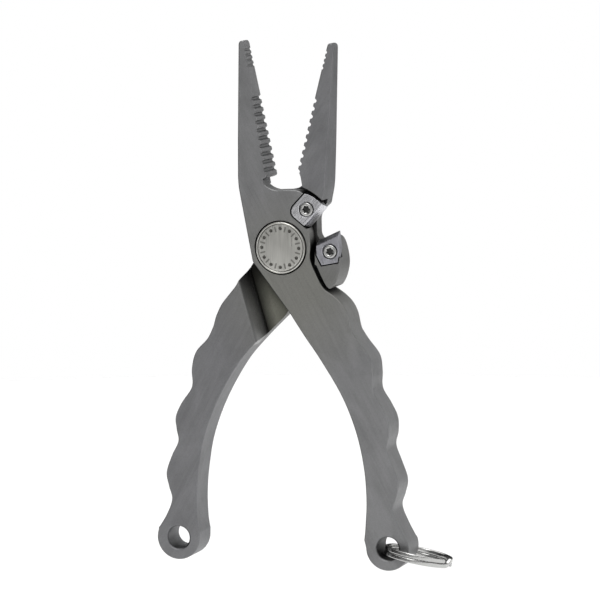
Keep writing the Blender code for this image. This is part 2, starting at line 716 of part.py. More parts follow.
def group_on_axis(name, centre, members, collection):
    """Parent the members to an empty on their joint's axis."""
    empty = bpy.data.objects.new(name, None)
    place = Vector((centre[0] * MM, MID_Y * MM, centre[1] * MM))
    empty.location = place
    collection.objects.link(empty)
    for obj in members:
        obj.parent = empty
        obj.matrix_parent_inverse = Matrix.Translation(-place)


def build():
    clear_scene()
    parts = new_collection("fishing_pliers")
    cutters = new_collection("fishing_pliers_cutters")
    titanium = new_material("titanium", (0.21, 0.21, 0.205), 0.45, 0.9)
    steel = new_material("polished_steel", (0.50, 0.50, 0.49), 0.22, 1.0)
    pivot_metal = new_material("pivot_steel", (0.36, 0.36, 0.34), 0.35, 1.0)
    carbide = new_material("carbide", (0.33, 0.33, 0.34), 0.25, 1.0)
    bronze = new_material("bronze", (0.45, 0.27, 0.12), 0.35, 1.0)
    spring_steel = new_material("spring_steel", (0.28, 0.28, 0.29), 0.3, 1.0)

    add_front_half(titanium, parts, cutters)
    rear_half = add_rear_half(titanium, parts, cutters)
    add_pivot_bolt(pivot_metal, parts, cutters)
    add_key_pin(steel, parts)
    add_pivot_nut(pivot_metal, parts, cutters)
    bushing = add_ring_piece("rear_bushing", SHANK_RADIUS + GAP, BUSHING_RADIUS, 6.85, 9.6,
                             bronze, parts)
    add_ring_piece("middle_thrust_washer", SHANK_RADIUS + GAP, WASHER_RADIUS, 5.75, 6.55,
                   bronze, parts)
    add_ring_piece("rear_thrust_washer", SHANK_RADIUS + GAP, NUT_RADIUS - 0.2, 9.9, 10.3,
                   bronze, parts)
    add_torsion_spring(spring_steel, parts)
    add_cutter("upper_cutter", upper_cutter_outline(), shifted_line(cutting_line(0.0), 0.1), 1,
               UPPER_SCREW_AT, carbide, parts, cutters)
    add_screw("upper_cutter_screw", UPPER_SCREW_AT, 5.6, steel, parts, cutters)
    lower = add_cutter("lower_cutter", lower_cutter_outline(),
                       shifted_line(cutting_line(OPEN_ANGLE), -0.1), -1,
                       LOWER_SCREW_AT, carbide, parts, cutters)
    lower_screw = add_screw("lower_cutter_screw", LOWER_SCREW_AT, 6.6, steel, parts, cutters)
    ring = add_split_ring(steel, parts)

    group_on_axis("jaw_pivot", (0.0, 0.0), [rear_half, bushing, lower, lower_screw], parts)
    group_on_axis("ring_pivot", EYE_CENTRE, [ring], parts)


build()
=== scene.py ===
"""Looks for the fishing pliers: finely rounded metal pieces, node materials, studio and camera.

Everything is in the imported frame: X to the right, Y from the front face to the back, Z up
towards the jaws. Outlines are written in millimetres (X, Z) about the pivot axis.
"""

import json
import math

import bmesh
import bpy
from mathutils import Matrix, Vector


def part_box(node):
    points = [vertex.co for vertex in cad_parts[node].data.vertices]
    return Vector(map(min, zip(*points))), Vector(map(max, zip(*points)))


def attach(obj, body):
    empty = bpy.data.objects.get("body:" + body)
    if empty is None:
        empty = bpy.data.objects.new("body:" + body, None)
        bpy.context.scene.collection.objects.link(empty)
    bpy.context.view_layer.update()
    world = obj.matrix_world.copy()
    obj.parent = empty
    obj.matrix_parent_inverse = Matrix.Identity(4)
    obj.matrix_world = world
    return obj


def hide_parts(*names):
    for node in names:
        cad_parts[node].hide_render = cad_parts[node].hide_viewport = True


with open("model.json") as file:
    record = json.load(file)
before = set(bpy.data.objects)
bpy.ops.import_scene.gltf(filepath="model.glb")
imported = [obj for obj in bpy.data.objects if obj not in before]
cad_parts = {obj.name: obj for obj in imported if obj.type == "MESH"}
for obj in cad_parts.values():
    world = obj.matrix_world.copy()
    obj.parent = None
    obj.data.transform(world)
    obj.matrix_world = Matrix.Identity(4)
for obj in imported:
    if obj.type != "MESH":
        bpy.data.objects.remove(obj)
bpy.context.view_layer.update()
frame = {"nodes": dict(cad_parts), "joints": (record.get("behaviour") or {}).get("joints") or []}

MM = 0.001
JOINTS = {joint["name"]: joint for joint in frame["joints"]}


def box_mm(node):
    """Lowest and highest corner of a CAD node, in millimetres."""
    low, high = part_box(node)
    return low / MM, high / MM


# ---------------------------------------------------------------- sizes from the frame

half_low, half_high = box_mm("front_half")
BODY_FRONT, BODY_BACK = half_low.y, half_high.y
ring_axis = Vector(JOINTS["ring_swing"]["pos_m"]) / MM
EYE_CENTRE = (ring_axis.x, ring_axis.z)
MID_Y = ring_axis.y
bolt_high = box_mm("pivot_bolt")[1]
BOLT_TAIL = bolt_high.y
HEAD_RADIUS = bolt_high.x
nut_high = box_mm("pivot_nut")[1]
NUT_RADIUS = nut_high.x
ring_low, ring_high = box_mm("split_ring")

# Sizes that the frame doesn't give, in millimetres
GAP = 0.3
LAP_FRONT = 6.0
LAP_BACK = 6.3
EDGE_ROUND = 0.65
CLEAR_FRONT = -2.0     # where cutters start, ahead of the front face
CLEAR_BACK = 14.0      # where cutters end, behind the back face
FRONT_WASHER_SEAT = 5.45
REAR_WASHER_SEAT = 6.85
NUT_SEAT = 9.6
NUT_FRONT = 10.6
FRONT_JAW_ANGLE = 11.0
REAR_JAW_ANGLE = 12.9
OPEN_ANGLE = FRONT_JAW_ANGLE + REAR_JAW_ANGLE
JAW_LENGTH = 69.4
JAW_HALF_WIDTH = 10.55
JAW_TAPER_START = 26.0
JAW_TIP_INSET = 3.15
FACE_SETBACK = 0.15
COARSE_TEETH = (25.2, 50.4, 2.65, 0.8)     # from, to, pitch, depth
FINE_TEETH = (60.4, 68.2, 1.75, 0.45)
EYE_RADIUS = 7.45
EYE_HOLE_RADIUS = 3.8
LAP_CLEARANCE_RADIUS = 21.7
HEAD_POCKET_RADIUS = HEAD_RADIUS + 0.25
HEAD_THICKNESS = 2.3
SHANK_RADIUS = 4.0
THREAD_RADIUS = 3.0
WASHER_RADIUS = 6.9
BUSHING_RADIUS = 5.5
SPRING_RADIUS = 9.4
SPRING_LEG_ANGLE = 200.0
SPRING_ARM_ANGLE = SPRING_LEG_ANGLE + 360.0 * 1.75
GROOVE_INNER = 8.3
GROOVE_OUTER = 10.5
GROOVE_BACK = 9.6
CUTTER_FRONT = 0.5
CUTTER_BACK = 3.7
POCKET_FLOOR = 4.0
POCKET_GAP = GAP + 0.1
CUT_ANGLE_IN = 35.8
CUT_ANGLE_OUT = 41.2
CUT_RADIUS_IN = 12.4
CUT_RADIUS_OUT = 20.6
CUT_BEVEL = 1.5
UPPER_SCREW_AT = (8.9, 12.9)
LOWER_SCREW_AT = (17.0, -0.8)
SCREW_HEAD_RADIUS = 2.3
SCREW_SHANK_RADIUS = 1.1
RING_WIRE_WIDTH = 1.4
RING_WIRE_HEIGHT = 1.5
RING_PITCH = 1.6
RING_TILT = -10.0
RING_ROLL = -6.0
RING_OFFSET = (9.0, -2.85)


# ---------------------------------------------------------------- plane geometry

def turned(point, degrees):
    """Turn a point about the pivot, anticlockwise as seen from the front."""
    angle = math.radians(degrees)
    x, z = point
    return (x * math.cos(angle) - z * math.sin(angle),
            x * math.sin(angle) + z * math.cos(angle))


def polar(radius, degrees):
    return turned((radius, 0.0), degrees)


def arc(centre, radius, start, end, steps):
    points = []
    for i in range(steps + 1):
        x, z = polar(radius, start + (end - start) * i / steps)
        points.append((centre[0] + x, centre[1] + z))
    return points


def smooth_curve(knots, steps):
    """Catmull-Rom curve through the knots."""
    points = []
    padded = [knots[0], *knots, knots[-1]]
    for i in range(1, len(padded) - 2):
        a, b, c, d = (Vector(padded[i + k]) for k in (-1, 0, 1, 2))
        for j in range(steps):
            t = j / steps
            p = 0.5 * (2 * b + (c - a) * t + (2 * a - 5 * b + 4 * c - d) * t ** 2
                       + (3 * b - a - 3 * c + d) * t ** 3)
            points.append((p.x, p.y))
    points.append(knots[-1])
    return points


def rounded(outline, reach, steps=4):
    """Swap each corner of a closed outline for a small curve."""
    points = []
    count = len(outline)
    for i in range(count):
        before, here, after = (Vector(outline[(i + k) % count]) for k in (-1, 0, 1))
        start = here + (before - here) * min(0.45, reach / (before - here).length)
        end = here + (after - here) * min(0.45, reach / (after - here).length)
        for j in range(steps + 1):
            t = j / steps
            p = start * (1 - t) ** 2 + here * 2 * t * (1 - t) + end * t ** 2
            points.append((p.x, p.y))
    return points


def grown(outline, distance):
    """Offset a convex anticlockwise outline outwards."""
    count = len(outline)
    result = []
    for i in range(count):
        before, here, after = (Vector(outline[(i + k) % count]) for k in (-1, 0, 1))
        first = (here - before).normalized()
        second = (after - here).normalized()
        normal_a = Vector((first.y, -first.x))
        normal_b = Vector((second.y, -second.x))
        mitre = (normal_a + normal_b).normalized()
        point = here + mitre * distance / mitre.dot(normal_a)
        result.append((point.x, point.y))
    return result


def mirrored(points):
    return [(-x, z) for x, z in reversed(points)]


# ---------------------------------------------------------------- solids

workshop = bpy.data.collections.new("workshop")
bpy.context.scene.collection.children.link(workshop)


def mesh_of(obj):
    """The object's final mesh, in world place, with doubles merged."""
    bpy.context.view_layer.update()
    depsgraph = bpy.context.evaluated_depsgraph_get()
    mesh = bpy.data.meshes.new_from_object(obj.evaluated_get(depsgraph))
    mesh.transform(obj.matrix_world)
    work = bmesh.new()
    work.from_mesh(mesh)
    bmesh.ops.remove_doubles(work, verts=work.verts, dist=2e-6)
    bmesh.ops.recalc_face_normals(work, faces=work.faces)
    work.to_mesh(mesh)
    work.free()
    mesh.materials.clear()
    return mesh


def from_curve(holder, name):
    mesh = mesh_of(holder)
    work = bmesh.new()
    work.from_mesh(mesh)
    bmesh.ops.dissolve_limit(work, angle_limit=math.radians(0.05),
                             verts=work.verts, edges=work.edges)
    work.to_mesh(mesh)
    work.free()
    bpy.data.objects.remove(holder, do_unlink=True)
    obj = bpy.data.objects.new(name, mesh)
    workshop.objects.link(obj)
    return obj


def plane_curve(name, outline, depth):
    """A filled flat curve extruded by half of depth to each side."""
    curve = bpy.data.curves.new(name, "CURVE")
    curve.dimensions = "2D"
    curve.fill_mode = "BOTH"
    curve.extrude = depth / 2 * MM
    spline = curve.splines.new("POLY")
    spline.points.add(len(outline) - 1)
    for point, (x, y) in zip(spline.points, outline):
        point.co = (x * MM, y * MM, 0.0, 1.0)
    spline.use_cyclic_u = True
    holder = bpy.data.objects.new(name, curve)
    workshop.objects.link(holder)
    return holder


def flat_solid(name, outline, front, back):
    """A flat outline in X and Z made solid from Y front to Y back."""
    holder = plane_curve(name + "_outline", outline, back - front)
    holder.rotation_euler = (math.pi / 2, 0.0, 0.0)
    holder.location = (0.0, (front + back) / 2 * MM, 0.0)
    return from_curve(holder, name)


def prism_along(name, section, start, end, overrun):
    """A section in (sideways, Y) swept along the line from start to end."""
    direction = Vector((end[0] - start[0], 0.0, end[1] - start[1]))
    holder = plane_curve(name + "_section", section, direction.length + 2 * overrun)
    direction.normalize()
    sideways = Vector((-direction.z, 0.0, direction.x))
    depth = Vector((0.0, 1.0, 0.0))
    middle = Vector(((start[0] + end[0]) / 2, 0.0, (start[1] + end[1]) / 2)) * MM
    turn = Matrix((sideways, depth, sideways.cross(depth))).transposed()
    holder.matrix_world = Matrix.Translation(middle) @ turn.to_4x4()
    return from_curve(holder, name)


def turned_solid(name, profile, centre=(0.0, 0.0), segments=96):
    """A solid of revolution about an axis along Y; the profile is (radius, Y)."""
    mesh = bpy.data.meshes.new(name)
    rows = [Vector((r * MM, 0.0, -y * MM)) for r, y in profile]
    edges = [(i, i + 1) for i in range(len(rows) - 1)]
    if profile[0][0] > 0.0:
        edges.append((len(rows) - 1, 0))
    mesh.from_pydata(rows, edges, [])
    holder = bpy.data.objects.new(name + "_turning", mesh)
    holder.rotation_euler = (math.pi / 2, 0.0, 0.0)
    holder.location = (centre[0] * MM, 0.0, centre[1] * MM)
    screw = holder.modifiers.new("turn", "SCREW")
    screw.steps = segments
    screw.render_steps = segments
    screw.use_merge_vertices = True
    screw.merge_threshold = 0.00001
    workshop.objects.link(holder)
    solid = mesh_of(holder)
    bpy.data.objects.remove(holder, do_unlink=True)
    obj = bpy.data.objects.new(name, solid)
    workshop.objects.link(obj)
    return obj


def joined(name, objects):
    """One object from several that don't touch, so one cut takes them all."""
    work = bmesh.new()
    for obj in objects:
        work.from_mesh(obj.data)
        bpy.data.objects.remove(obj, do_unlink=True)
    mesh = bpy.data.meshes.new(name)
    work.to_mesh(mesh)
    work.free()
    result = bpy.data.objects.new(name, mesh)
    workshop.objects.link(result)
    return result


def cut(target, *cutters):
    """Take the cutters out of the target and drop them."""
    for cutter in cutters:
        modifier = target.modifiers.new("cut", "BOOLEAN")
        modifier.operation = "DIFFERENCE"
        modifier.solver = "EXACT"
        modifier.object = cutter
    settle(target)
    for cutter in cutters:
        bpy.data.objects.remove(cutter, do_unlink=True)


def settle(obj):
    """Make the modifiers' result the object's own mesh."""
    mesh = mesh_of(obj)
    obj.modifiers.clear()
    obj.data = mesh


def round_edges(obj, width, segments=3, angle=35.0):
    bevel = obj.modifiers.new("round", "BEVEL")
    bevel.width = width * MM
    bevel.segments = segments
    bevel.limit_method = "ANGLE"
    bevel.angle_limit = math.radians(angle)
    bevel.miter_outer = "MITER_SHARP"
    settle(obj)


def weld(obj, distance=0.02):
    modifier = obj.modifiers.new("weld", "WELD")
    modifier.merge_threshold = distance * MM
    settle(obj)


def finish_piece(obj, material, body, slot, *nodes, smooth_angle=33.0):
    """Shading, material, the body it rides on and the CAD nodes that it stands for."""
    obj.data.materials.clear()
    obj.data.materials.append(material)
    obj.data.shade_smooth()
    obj.data.set_sharp_from_angle(angle=math.radians(smooth_angle))
    normals = obj.modifiers.new("face_weighted_normals", "WEIGHTED_NORMAL")
    normals.keep_sharp = True
    normals.weight = 90
    bpy.context.scene.collection.objects.link(obj)
    workshop.objects.unlink(obj)
    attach(obj, body)
    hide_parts(*nodes)
    return obj


# ---------------------------------------------------------------- outlines of the two halves
# Both are drawn with the jaw on the left and the handle on the right; the rear one is then
# mirrored.

def jaw_outer_side():
    return [(-FACE_SETBACK, JAW_LENGTH - 0.7), (-0.55, JAW_LENGTH), (-1.5, JAW_LENGTH + 0.1),
            (-2.25, JAW_LENGTH - 0.5), (-8.1, 37.0), (-10.2, 24.8), (-10.5, 22.3),
            (-JAW_HALF_WIDTH, 19.8)]


FRONT_THROAT = [(0.74, 19.5), (-0.6, 20.45), (-1.35, 21.4), (-1.8, 22.4), (-1.8, 23.4),
                (-FACE_SETBACK, 23.6)]
REAR_THROAT = [(0.74, 19.5), (-0.6, 20.45), (-1.25, 21.4), (-1.6, 22.6), (-1.4, 23.5),
               (-FACE_SETBACK, 24.6)]
FRONT_THROAT_LAP = [(-3.0, 21.3), (-3.0, 23.4), (3.0, 23.4), (4.0, 21.4)]
REAR_THROAT_LAP = [(-2.9, 21.6), (-1.6, 24.7), (-0.6, 26.2), (3.0, 28.0), (4.0, 21.4)]

# Handle edges from the pivot end to the eye (palm) and back up (fingers)
FRONT_PALM = [(2.8, -21.3), (8.0, -29.0), (13.6, -36.8), (20.9, -48.5), (25.8, -60.3),
              (28.5, -72.1), (29.4, -83.0), (29.0, -92.5), (28.6, -96.5)]
FRONT_FINGERS = [(43.1, -95.6), (40.6, -91.0), (38.6, -85.8), (39.8, -81.4), (40.5, -76.8),
                 (38.35, -70.7), (36.5, -65.6), (37.3, -61.0), (37.05, -56.2), (34.7, -51.4),
                 (31.9, -46.7), (31.8, -41.0), (30.9, -35.7), (27.0, -30.6), (24.65, -27.1)]
REAR_PALM = [(0.5, -23.4), (8.1, -31.0), (15.25, -39.4), (22.45, -51.9), (27.25, -64.3),
             (29.35, -75.5), (30.1, -84.2), (29.9, -92.5), (29.2, -97.0)]
REAR_FINGERS = [(43.8, -96.0), (40.9, -91.4), (38.9, -86.0), (40.0, -81.5), (40.75, -76.9),
                (38.85, -71.2), (36.5, -66.2), (37.1, -62.0), (37.3, -57.8), (35.1, -53.0),
                (31.5, -47.6), (31.5, -41.5), (30.0, -35.8), (25.9, -31.2), (23.7, -26.8)]
CURVE_STEPS = 7


def half_outline(jaw_angle, plate_side, palm, fingers, shoulder_side, throat):
    points = [turned(p, jaw_angle) for p in jaw_outer_side()]
    points += plate_side
    points += smooth_curve(palm, CURVE_STEPS)
    points += arc(EYE_CENTRE, EYE_RADIUS, 180.0, 380.0, 36)
    points += smooth_curve(fingers, CURVE_STEPS)
    points += shoulder_side
    points += [turned(p, jaw_angle) for p in throat]
    return rounded(points, 0.8)


def cutting_line(closing):
    return (polar(CUT_RADIUS_IN, CUT_ANGLE_IN - closing),
            polar(CUT_RADIUS_OUT, CUT_ANGLE_OUT - closing))


def shifted_line(line, distance):
    start, end = Vector(line[0]), Vector(line[1])
    along = (end - start).normalized()
    side = Vector((-along.y, along.x)) * distance
    return tuple(start + side), tuple(end + side)


def front_outline():
    plate_side = [turned((-JAW_HALF_WIDTH, -1.6), FRONT_JAW_ANGLE), (-9.8, -4.9)]
    near, far = shifted_line(cutting_line(0.0), 1.7)
    shoulder = smooth_curve([(24.1, -25.0), (23.5, -22.2), (22.5, -19.8), (21.1, -17.8),
                             (19.5, -16.3), (18.1, -15.2), (16.7, -14.3), (15.3, -13.4),
                             (14.0, -11.8), (12.9, -9.8), (10.6, -5.0), (10.1, -2.5),
                             (10.3, 1.3), (9.8, 5.6)], 3)
    throat = smooth_curve([(8.5, 17.8), (7.0, 18.8), (4.8, 19.2), (1.0, 19.1),
                           (-1.5, 18.95)], 3)
    shoulder += [near, (far[0] - 1.2, far[1] - 1.2), (12.0, 15.5)]
    return half_outline(FRONT_JAW_ANGLE, plate_side, FRONT_PALM, FRONT_FINGERS,
                        shoulder + throat, FRONT_THROAT)


LOBE = [(16.6, 3.9), (18.0, 3.5), (19.2, 1.7), (20.1, -1.5), (20.5, -4.5), (20.3, -7.0),
        (19.7, -9.4), (18.9, -11.3), (18.0, -12.6), (16.9, -13.1), (15.9, -12.5),
        (15.1, -11.3), (13.6, -8.4), (12.2, -5.3)]


def rear_outline():
    notch = [(-14.2, 14.2), (-11.4, 11.9), (-10.7, 9.5), (-10.8, 4.2), (-11.95, 2.2)]
    lobe = [(-x, z) for x, z in smooth_curve(LOBE, 3)]
    plate_side = notch + lobe + [(-10.4, -5.2), (-4.6, -15.5)]
    shoulder = smooth_curve([(22.9, -23.8), (20.9, -19.6), (17.8, -15.7), (15.6, -12.9),
                             (14.3, -10.3), (12.3, -7.2), (10.8, -4.6), (10.0, -1.5),
                             (10.0, 5.6), (9.6, 12.2), (8.5, 17.4), (7.0, 18.0), (4.8, 18.3),
                             (1.0, 18.4), (-1.2, 18.7)], 3)
    return mirrored(half_outline(REAR_JAW_ANGLE, plate_side, REAR_PALM, REAR_FINGERS,
                                 shoulder, REAR_THROAT))


def ramp_line(setback):
    return (5.1 + setback, -33.0), (14.1 + setback, -3.0)


def lap_outline(jaw_angle, setback, throat, outer_side):
    """What the other half's plate needs clear, drawn with the jaw on the left."""
    foot, top = ramp_line(setback)
    points = [foot, top, (21.5, -3.0)]
    points += arc((0.0, 0.0), LAP_CLEARANCE_RADIUS, 0.0, 66.0, 24)
    points += [turned(p, jaw_angle) for p in reversed(throat)]
    points += arc((0.0, 0.0), LAP_CLEARANCE_RADIUS, 114.0, 160.0, 18)
    points += outer_side
    return points


def ramp_section(floor, face):
    """Hollow slope with a rounded crest, from just off the lap plane up to the full face."""
    rise = face - floor
    slope = [(-0.5, 0.08), (-1.0, 0.19), (-1.5, 0.33), (-1.95, 0.48), (-2.35, 0.63),
             (-2.7, 0.78), (-3.0, 0.9), (-3.2, 0.955), (-3.45, 0.985), (-3.8, 0.999),
             (-4.1, 1.01), (-4.3, 1.3)]
    return ([(1.0, floor + 0.08 * rise)] + [(s, floor + h * rise) for s, h in slope]
            + [(1.0, floor + 1.3 * rise)])


TOOTH = [(0.0, 0.0), (0.05, 0.1), (0.11, 0.38), (0.17, 0.72), (0.24, 0.94), (0.35, 1.0),
         (0.46, 0.94), (0.53, 0.72), (0.59, 0.38), (0.65, 0.1), (0.70, 0.0)]


def teeth_comb():
    """Everything beyond the toothed face, as one outline in the jaw's own frame."""
    clear = 0.25
    skim = -FACE_SETBACK - 0.03
    points = [(3.0, 24.2), (clear, 24.2), (clear, 24.6)]
    for start, end, pitch, depth in (COARSE_TEETH, FINE_TEETH):
        count = round((end - start) / pitch)
        points.append((skim, start - 0.15))
        for i in range(count):
            for along, down in TOOTH:
                points.append((skim - depth * down, start + (i + along) * pitch))
        points += [(skim, start + (count - 0.2) * pitch), (clear, start + count * pitch)]
    points += [(clear, JAW_LENGTH + 1.0), (3.0, JAW_LENGTH + 1.0)]
    return points


def taper_cutter(name, jaw_angle, face, inset):
    """Wedge that thins the jaw towards its tip; it runs across the jaw's width."""
    reach = JAW_LENGTH + 4.0
    slope = inset / (JAW_LENGTH - JAW_TAPER_START)
    below = JAW_TAPER_START - 8.0
    side = -math.copysign(6.0, inset)
    section = [(below, face - slope * 8.0), (reach, face + slope * (reach - JAW_TAPER_START)),
               (reach, face + side), (below, face + side)]
    return prism_along(name, [(-d, y) for d, y in section], turned((25.0, 0.0), jaw_angle),
                       turned((-25.0, 0.0), jaw_angle), 0.0)


def eye_cutter(name, x):
    """Eye hole with a rounded mouth at each face."""
    mouth = 0.75
    profile = [(0.0, BODY_FRONT - 2.0), (EYE_HOLE_RADIUS + mouth + 0.02, BODY_FRONT - 2.0)]
    for i in range(7):
        angle = math.pi / 2 * i / 6
        profile.append((EYE_HOLE_RADIUS + mouth * (1 - math.sin(angle)) + 0.02 * (i == 0),
                        BODY_FRONT + mouth * (1 - math.cos(angle)) - 0.01))
    profile += [(r, BODY_FRONT + BODY_BACK - y) for r, y in reversed(profile)]
    return turned_solid(name, profile, (x, EYE_CENTRE[1]), 64)


def rough_half(name, outline, jaw_angle, mirror, lap, lap_depth, setback):
    """One half up to its teeth and eye."""
    obj = flat_solid(name, outline, BODY_FRONT, BODY_BACK)
    lean = mirror * jaw_angle
    cut(obj, taper_cutter("taper_front", lean, BODY_FRONT, JAW_TIP_INSET),
        taper_cutter("taper_back", lean, BODY_BACK, -JAW_TIP_INSET))
    round_edges(obj, EDGE_ROUND)
    weld(obj)
    foot, top = ramp_line(setback)
    if mirror > 0:
        ramp = prism_along("ramp", ramp_section(lap_depth[0], BODY_BACK), foot, top, 4.0)
    else:
        foot, top = (-foot[0], foot[1]), (-top[0], top[1])
        ramp = prism_along("ramp", ramp_section(lap_depth[1], BODY_FRONT), top, foot, 4.0)
    cut(obj, flat_solid("lap", lap, *lap_depth), ramp)
    comb = teeth_comb() if mirror > 0 else mirrored(teeth_comb())
    comb = [turned(p, lean) for p in comb]
    cut(obj, flat_solid("teeth", comb, CLEAR_FRONT, CLEAR_BACK),
        eye_cutter("eye", mirror * EYE_CENTRE[0]))
    return obj


def make_front_half():
    setback = 1.2
    lap = lap_outline(FRONT_JAW_ANGLE, setback, FRONT_THROAT_LAP,
                      [(-22.0, -6.0), (-22.0, -20.0), (-8.0, -33.0)])
    obj = rough_half("front_half_fine", front_outline(), FRONT_JAW_ANGLE, 1, lap,
                     (LAP_FRONT, CLEAR_BACK), setback)
    lip = 0.15
    bore = [(0.0, CLEAR_FRONT), (HEAD_POCKET_RADIUS + lip, CLEAR_FRONT),
            (HEAD_POCKET_RADIUS + lip, BODY_FRONT - 0.01),
            (HEAD_POCKET_RADIUS + lip * 0.3, BODY_FRONT + lip * 0.3),
            (HEAD_POCKET_RADIUS, BODY_FRONT + lip),
            (HEAD_POCKET_RADIUS, HEAD_THICKNESS + GAP),
            (SHANK_RADIUS + GAP, HEAD_THICKNESS + GAP),
            (SHANK_RADIUS + GAP, FRONT_WASHER_SEAT), (WASHER_RADIUS + GAP, FRONT_WASHER_SEAT),
            (WASHER_RADIUS + GAP, 8.0), (0.0, 8.0)]
    cut(obj, turned_solid("bore", bore),
        turned_solid("key_hole", hole_profile(1.0, 2.0, 4.9), KEY_PIN_AT, 24),
        turned_solid("spring_hole", hole_profile(0.8, 3.4, 8.0),
                     polar(SPRING_RADIUS, SPRING_LEG_ANGLE), 24),
        flat_solid("pocket", grown(upper_cutter_outline(), POCKET_GAP), CLEAR_FRONT,
                   POCKET_FLOOR),
        turned_solid("screw_hole", hole_profile(SCREW_SHANK_RADIUS + GAP, 3.0, 8.0),
                     UPPER_SCREW_AT, 32))
    return obj


def spring_slot_outline():
    first = SPRING_ARM_ANGLE - OPEN_ANGLE - 14.0
    last = SPRING_ARM_ANGLE + 8.0
    return (arc((0, 0), 13.6, first, last, 16)
            + arc((0, 0), GROOVE_OUTER - 0.6, last, first, 16))


def make_rear_half():
    lobe_side = [(-20.5, 7.2), (-11.95, 5.2), (-11.95, -4.2), (-11.85, -5.9), (-12.7, -8.4),
                 (-14.2, -11.6), (-14.6, -15.0), (-8.0, -33.0)]
    lap = mirrored(lap_outline(REAR_JAW_ANGLE, 0.0, REAR_THROAT_LAP, lobe_side))
    obj = rough_half("rear_half_fine", rear_outline(), REAR_JAW_ANGLE, -1, lap,
                     (CLEAR_FRONT, LAP_BACK), 0.0)
    lip = 0.2
    nut_bore = NUT_RADIUS + GAP
    bore = [(0.0, 5.0), (WASHER_RADIUS + GAP, 5.0), (WASHER_RADIUS + GAP, REAR_WASHER_SEAT),
            (BUSHING_RADIUS + GAP, REAR_WASHER_SEAT), (BUSHING_RADIUS + GAP, NUT_SEAT),
            (nut_bore, NUT_SEAT),
            (nut_bore, BODY_BACK - lip), (nut_bore + lip, BODY_BACK + 0.01),
            (nut_bore + lip, CLEAR_BACK), (0.0, CLEAR_BACK)]
    groove = [(GROOVE_INNER, 4.0), (GROOVE_OUTER, 4.0), (GROOVE_OUTER, GROOVE_BACK),
              (GROOVE_INNER, GROOVE_BACK)]
    cut(obj, turned_solid("bore", bore), turned_solid("groove", groove),
        flat_solid("slot", spring_slot_outline(), 4.5, GROOVE_BACK - 0.1),
        flat_solid("pocket", grown(lower_cutter_outline(), POCKET_GAP), CLEAR_FRONT,
                   POCKET_FLOOR),
        turned_solid("screw_hole", hole_profile(SCREW_SHANK_RADIUS + GAP, 3.0, 7.0),
                     LOWER_SCREW_AT, 32))
    return obj


def hole_profile(radius, front, back):
    return [(0.0, front), (radius, front), (radius, back), (0.0, back)]


# ---------------------------------------------------------------- pivot

KEY_PIN_AT = (-6.2, -2.6)
HEAD_MARKS = 12


def radial_mark(name, angle, inner, outer, width, depth):
    """Short radial groove with round ends on the bolt's face."""
    half = width / 2
    stroke = (arc((outer - half, 0.0), half, -90.0, 90.0, 6)
              + arc((inner + half, 0.0), half, 90.0, 270.0, 6))
    return flat_solid(name, [turned(p, angle) for p in stroke], -1.0, depth)


def make_pivot_bolt():
    """Broad flat head with a raised rim, a thin groove and a ring of plain marks."""
    rim = HEAD_RADIUS
    profile = [(0.0, 0.04), (7.55, 0.04), (7.68, 0.07), (7.76, 0.16), (7.86, 0.2),
               (7.96, 0.16), (8.04, 0.06), (8.14, 0.01), (8.28, 0.01), (8.46, 0.08),
               (8.62, 0.23), (8.71, 0.42), (rim, 0.7), (rim, HEAD_THICKNESS),
               (SHANK_RADIUS, HEAD_THICKNESS), (SHANK_RADIUS, 9.3), (THREAD_RADIUS, 9.7),
               (THREAD_RADIUS, 11.7), (THREAD_RADIUS - 0.4, BOLT_TAIL), (0.0, BOLT_TAIL)]
    obj = turned_solid("pivot_bolt_fine", profile, segments=128)
    marks = []
    for i in range(HEAD_MARKS):
        angle = 360.0 / HEAD_MARKS * i
        dot = [(0.0, -1.0), (0.62, -1.0), (0.62, 0.05), (0.45, 0.28), (0.0, 0.36)]
        marks.append(turned_solid(f"dot_{i}", dot, polar(6.45, angle), 20))
        marks.append(radial_mark(f"mark_{i}", angle + 15.0, 5.3, 7.2, 0.55, 0.13))
    cut(obj, joined("face_marks", marks),
        turned_solid("key_hole", hole_profile(1.0, 1.1, 3.0), KEY_PIN_AT, 24))
    return obj


def make_pivot_nut():
    inner = THREAD_RADIUS + GAP
    back = nut_high.y
    profile = [(inner, NUT_FRONT), (NUT_RADIUS, NUT_FRONT), (NUT_RADIUS, back - 0.45),
               (NUT_RADIUS - 0.08, back - 0.22), (NUT_RADIUS - 0.24, back - 0.07),
               (NUT_RADIUS - 0.5, back), (inner + 0.25, back), (inner, back - 0.25)]
    obj = turned_solid("pivot_nut_fine", profile)
    holes = []
    for i in range(2):
        hole = [(0.0, 11.3), (0.8, 11.3), (0.8, back - 0.15), (1.0, back + 0.02),
                (1.0, 13.5), (0.0, 13.5)]
        holes.append(turned_solid(f"spanner_{i}", hole, polar(5.2, 180.0 * i), 32))
    cut(obj, joined("spanner_holes", holes))
    return obj


# ---------------------------------------------------------------- cutters and their screws

def upper_cutter_outline():
    near, far = shifted_line(cutting_line(0.0), 0.1)
    return [near, far, (13.3, 15.8), (10.9, 17.3), (8.4, 18.2), (5.3, 14.9), (4.2, 13.6),
            (3.8, 12.6), (3.8, 11.5), (4.4, 10.5), (9.0, 6.85)]


def lower_cutter_outline():
    near, far = shifted_line(cutting_line(OPEN_ANGLE), -0.1)
    return [far, near, (12.45, -2.2), (14.2, -5.4), (19.7, -4.3), (20.4, 0.5)]


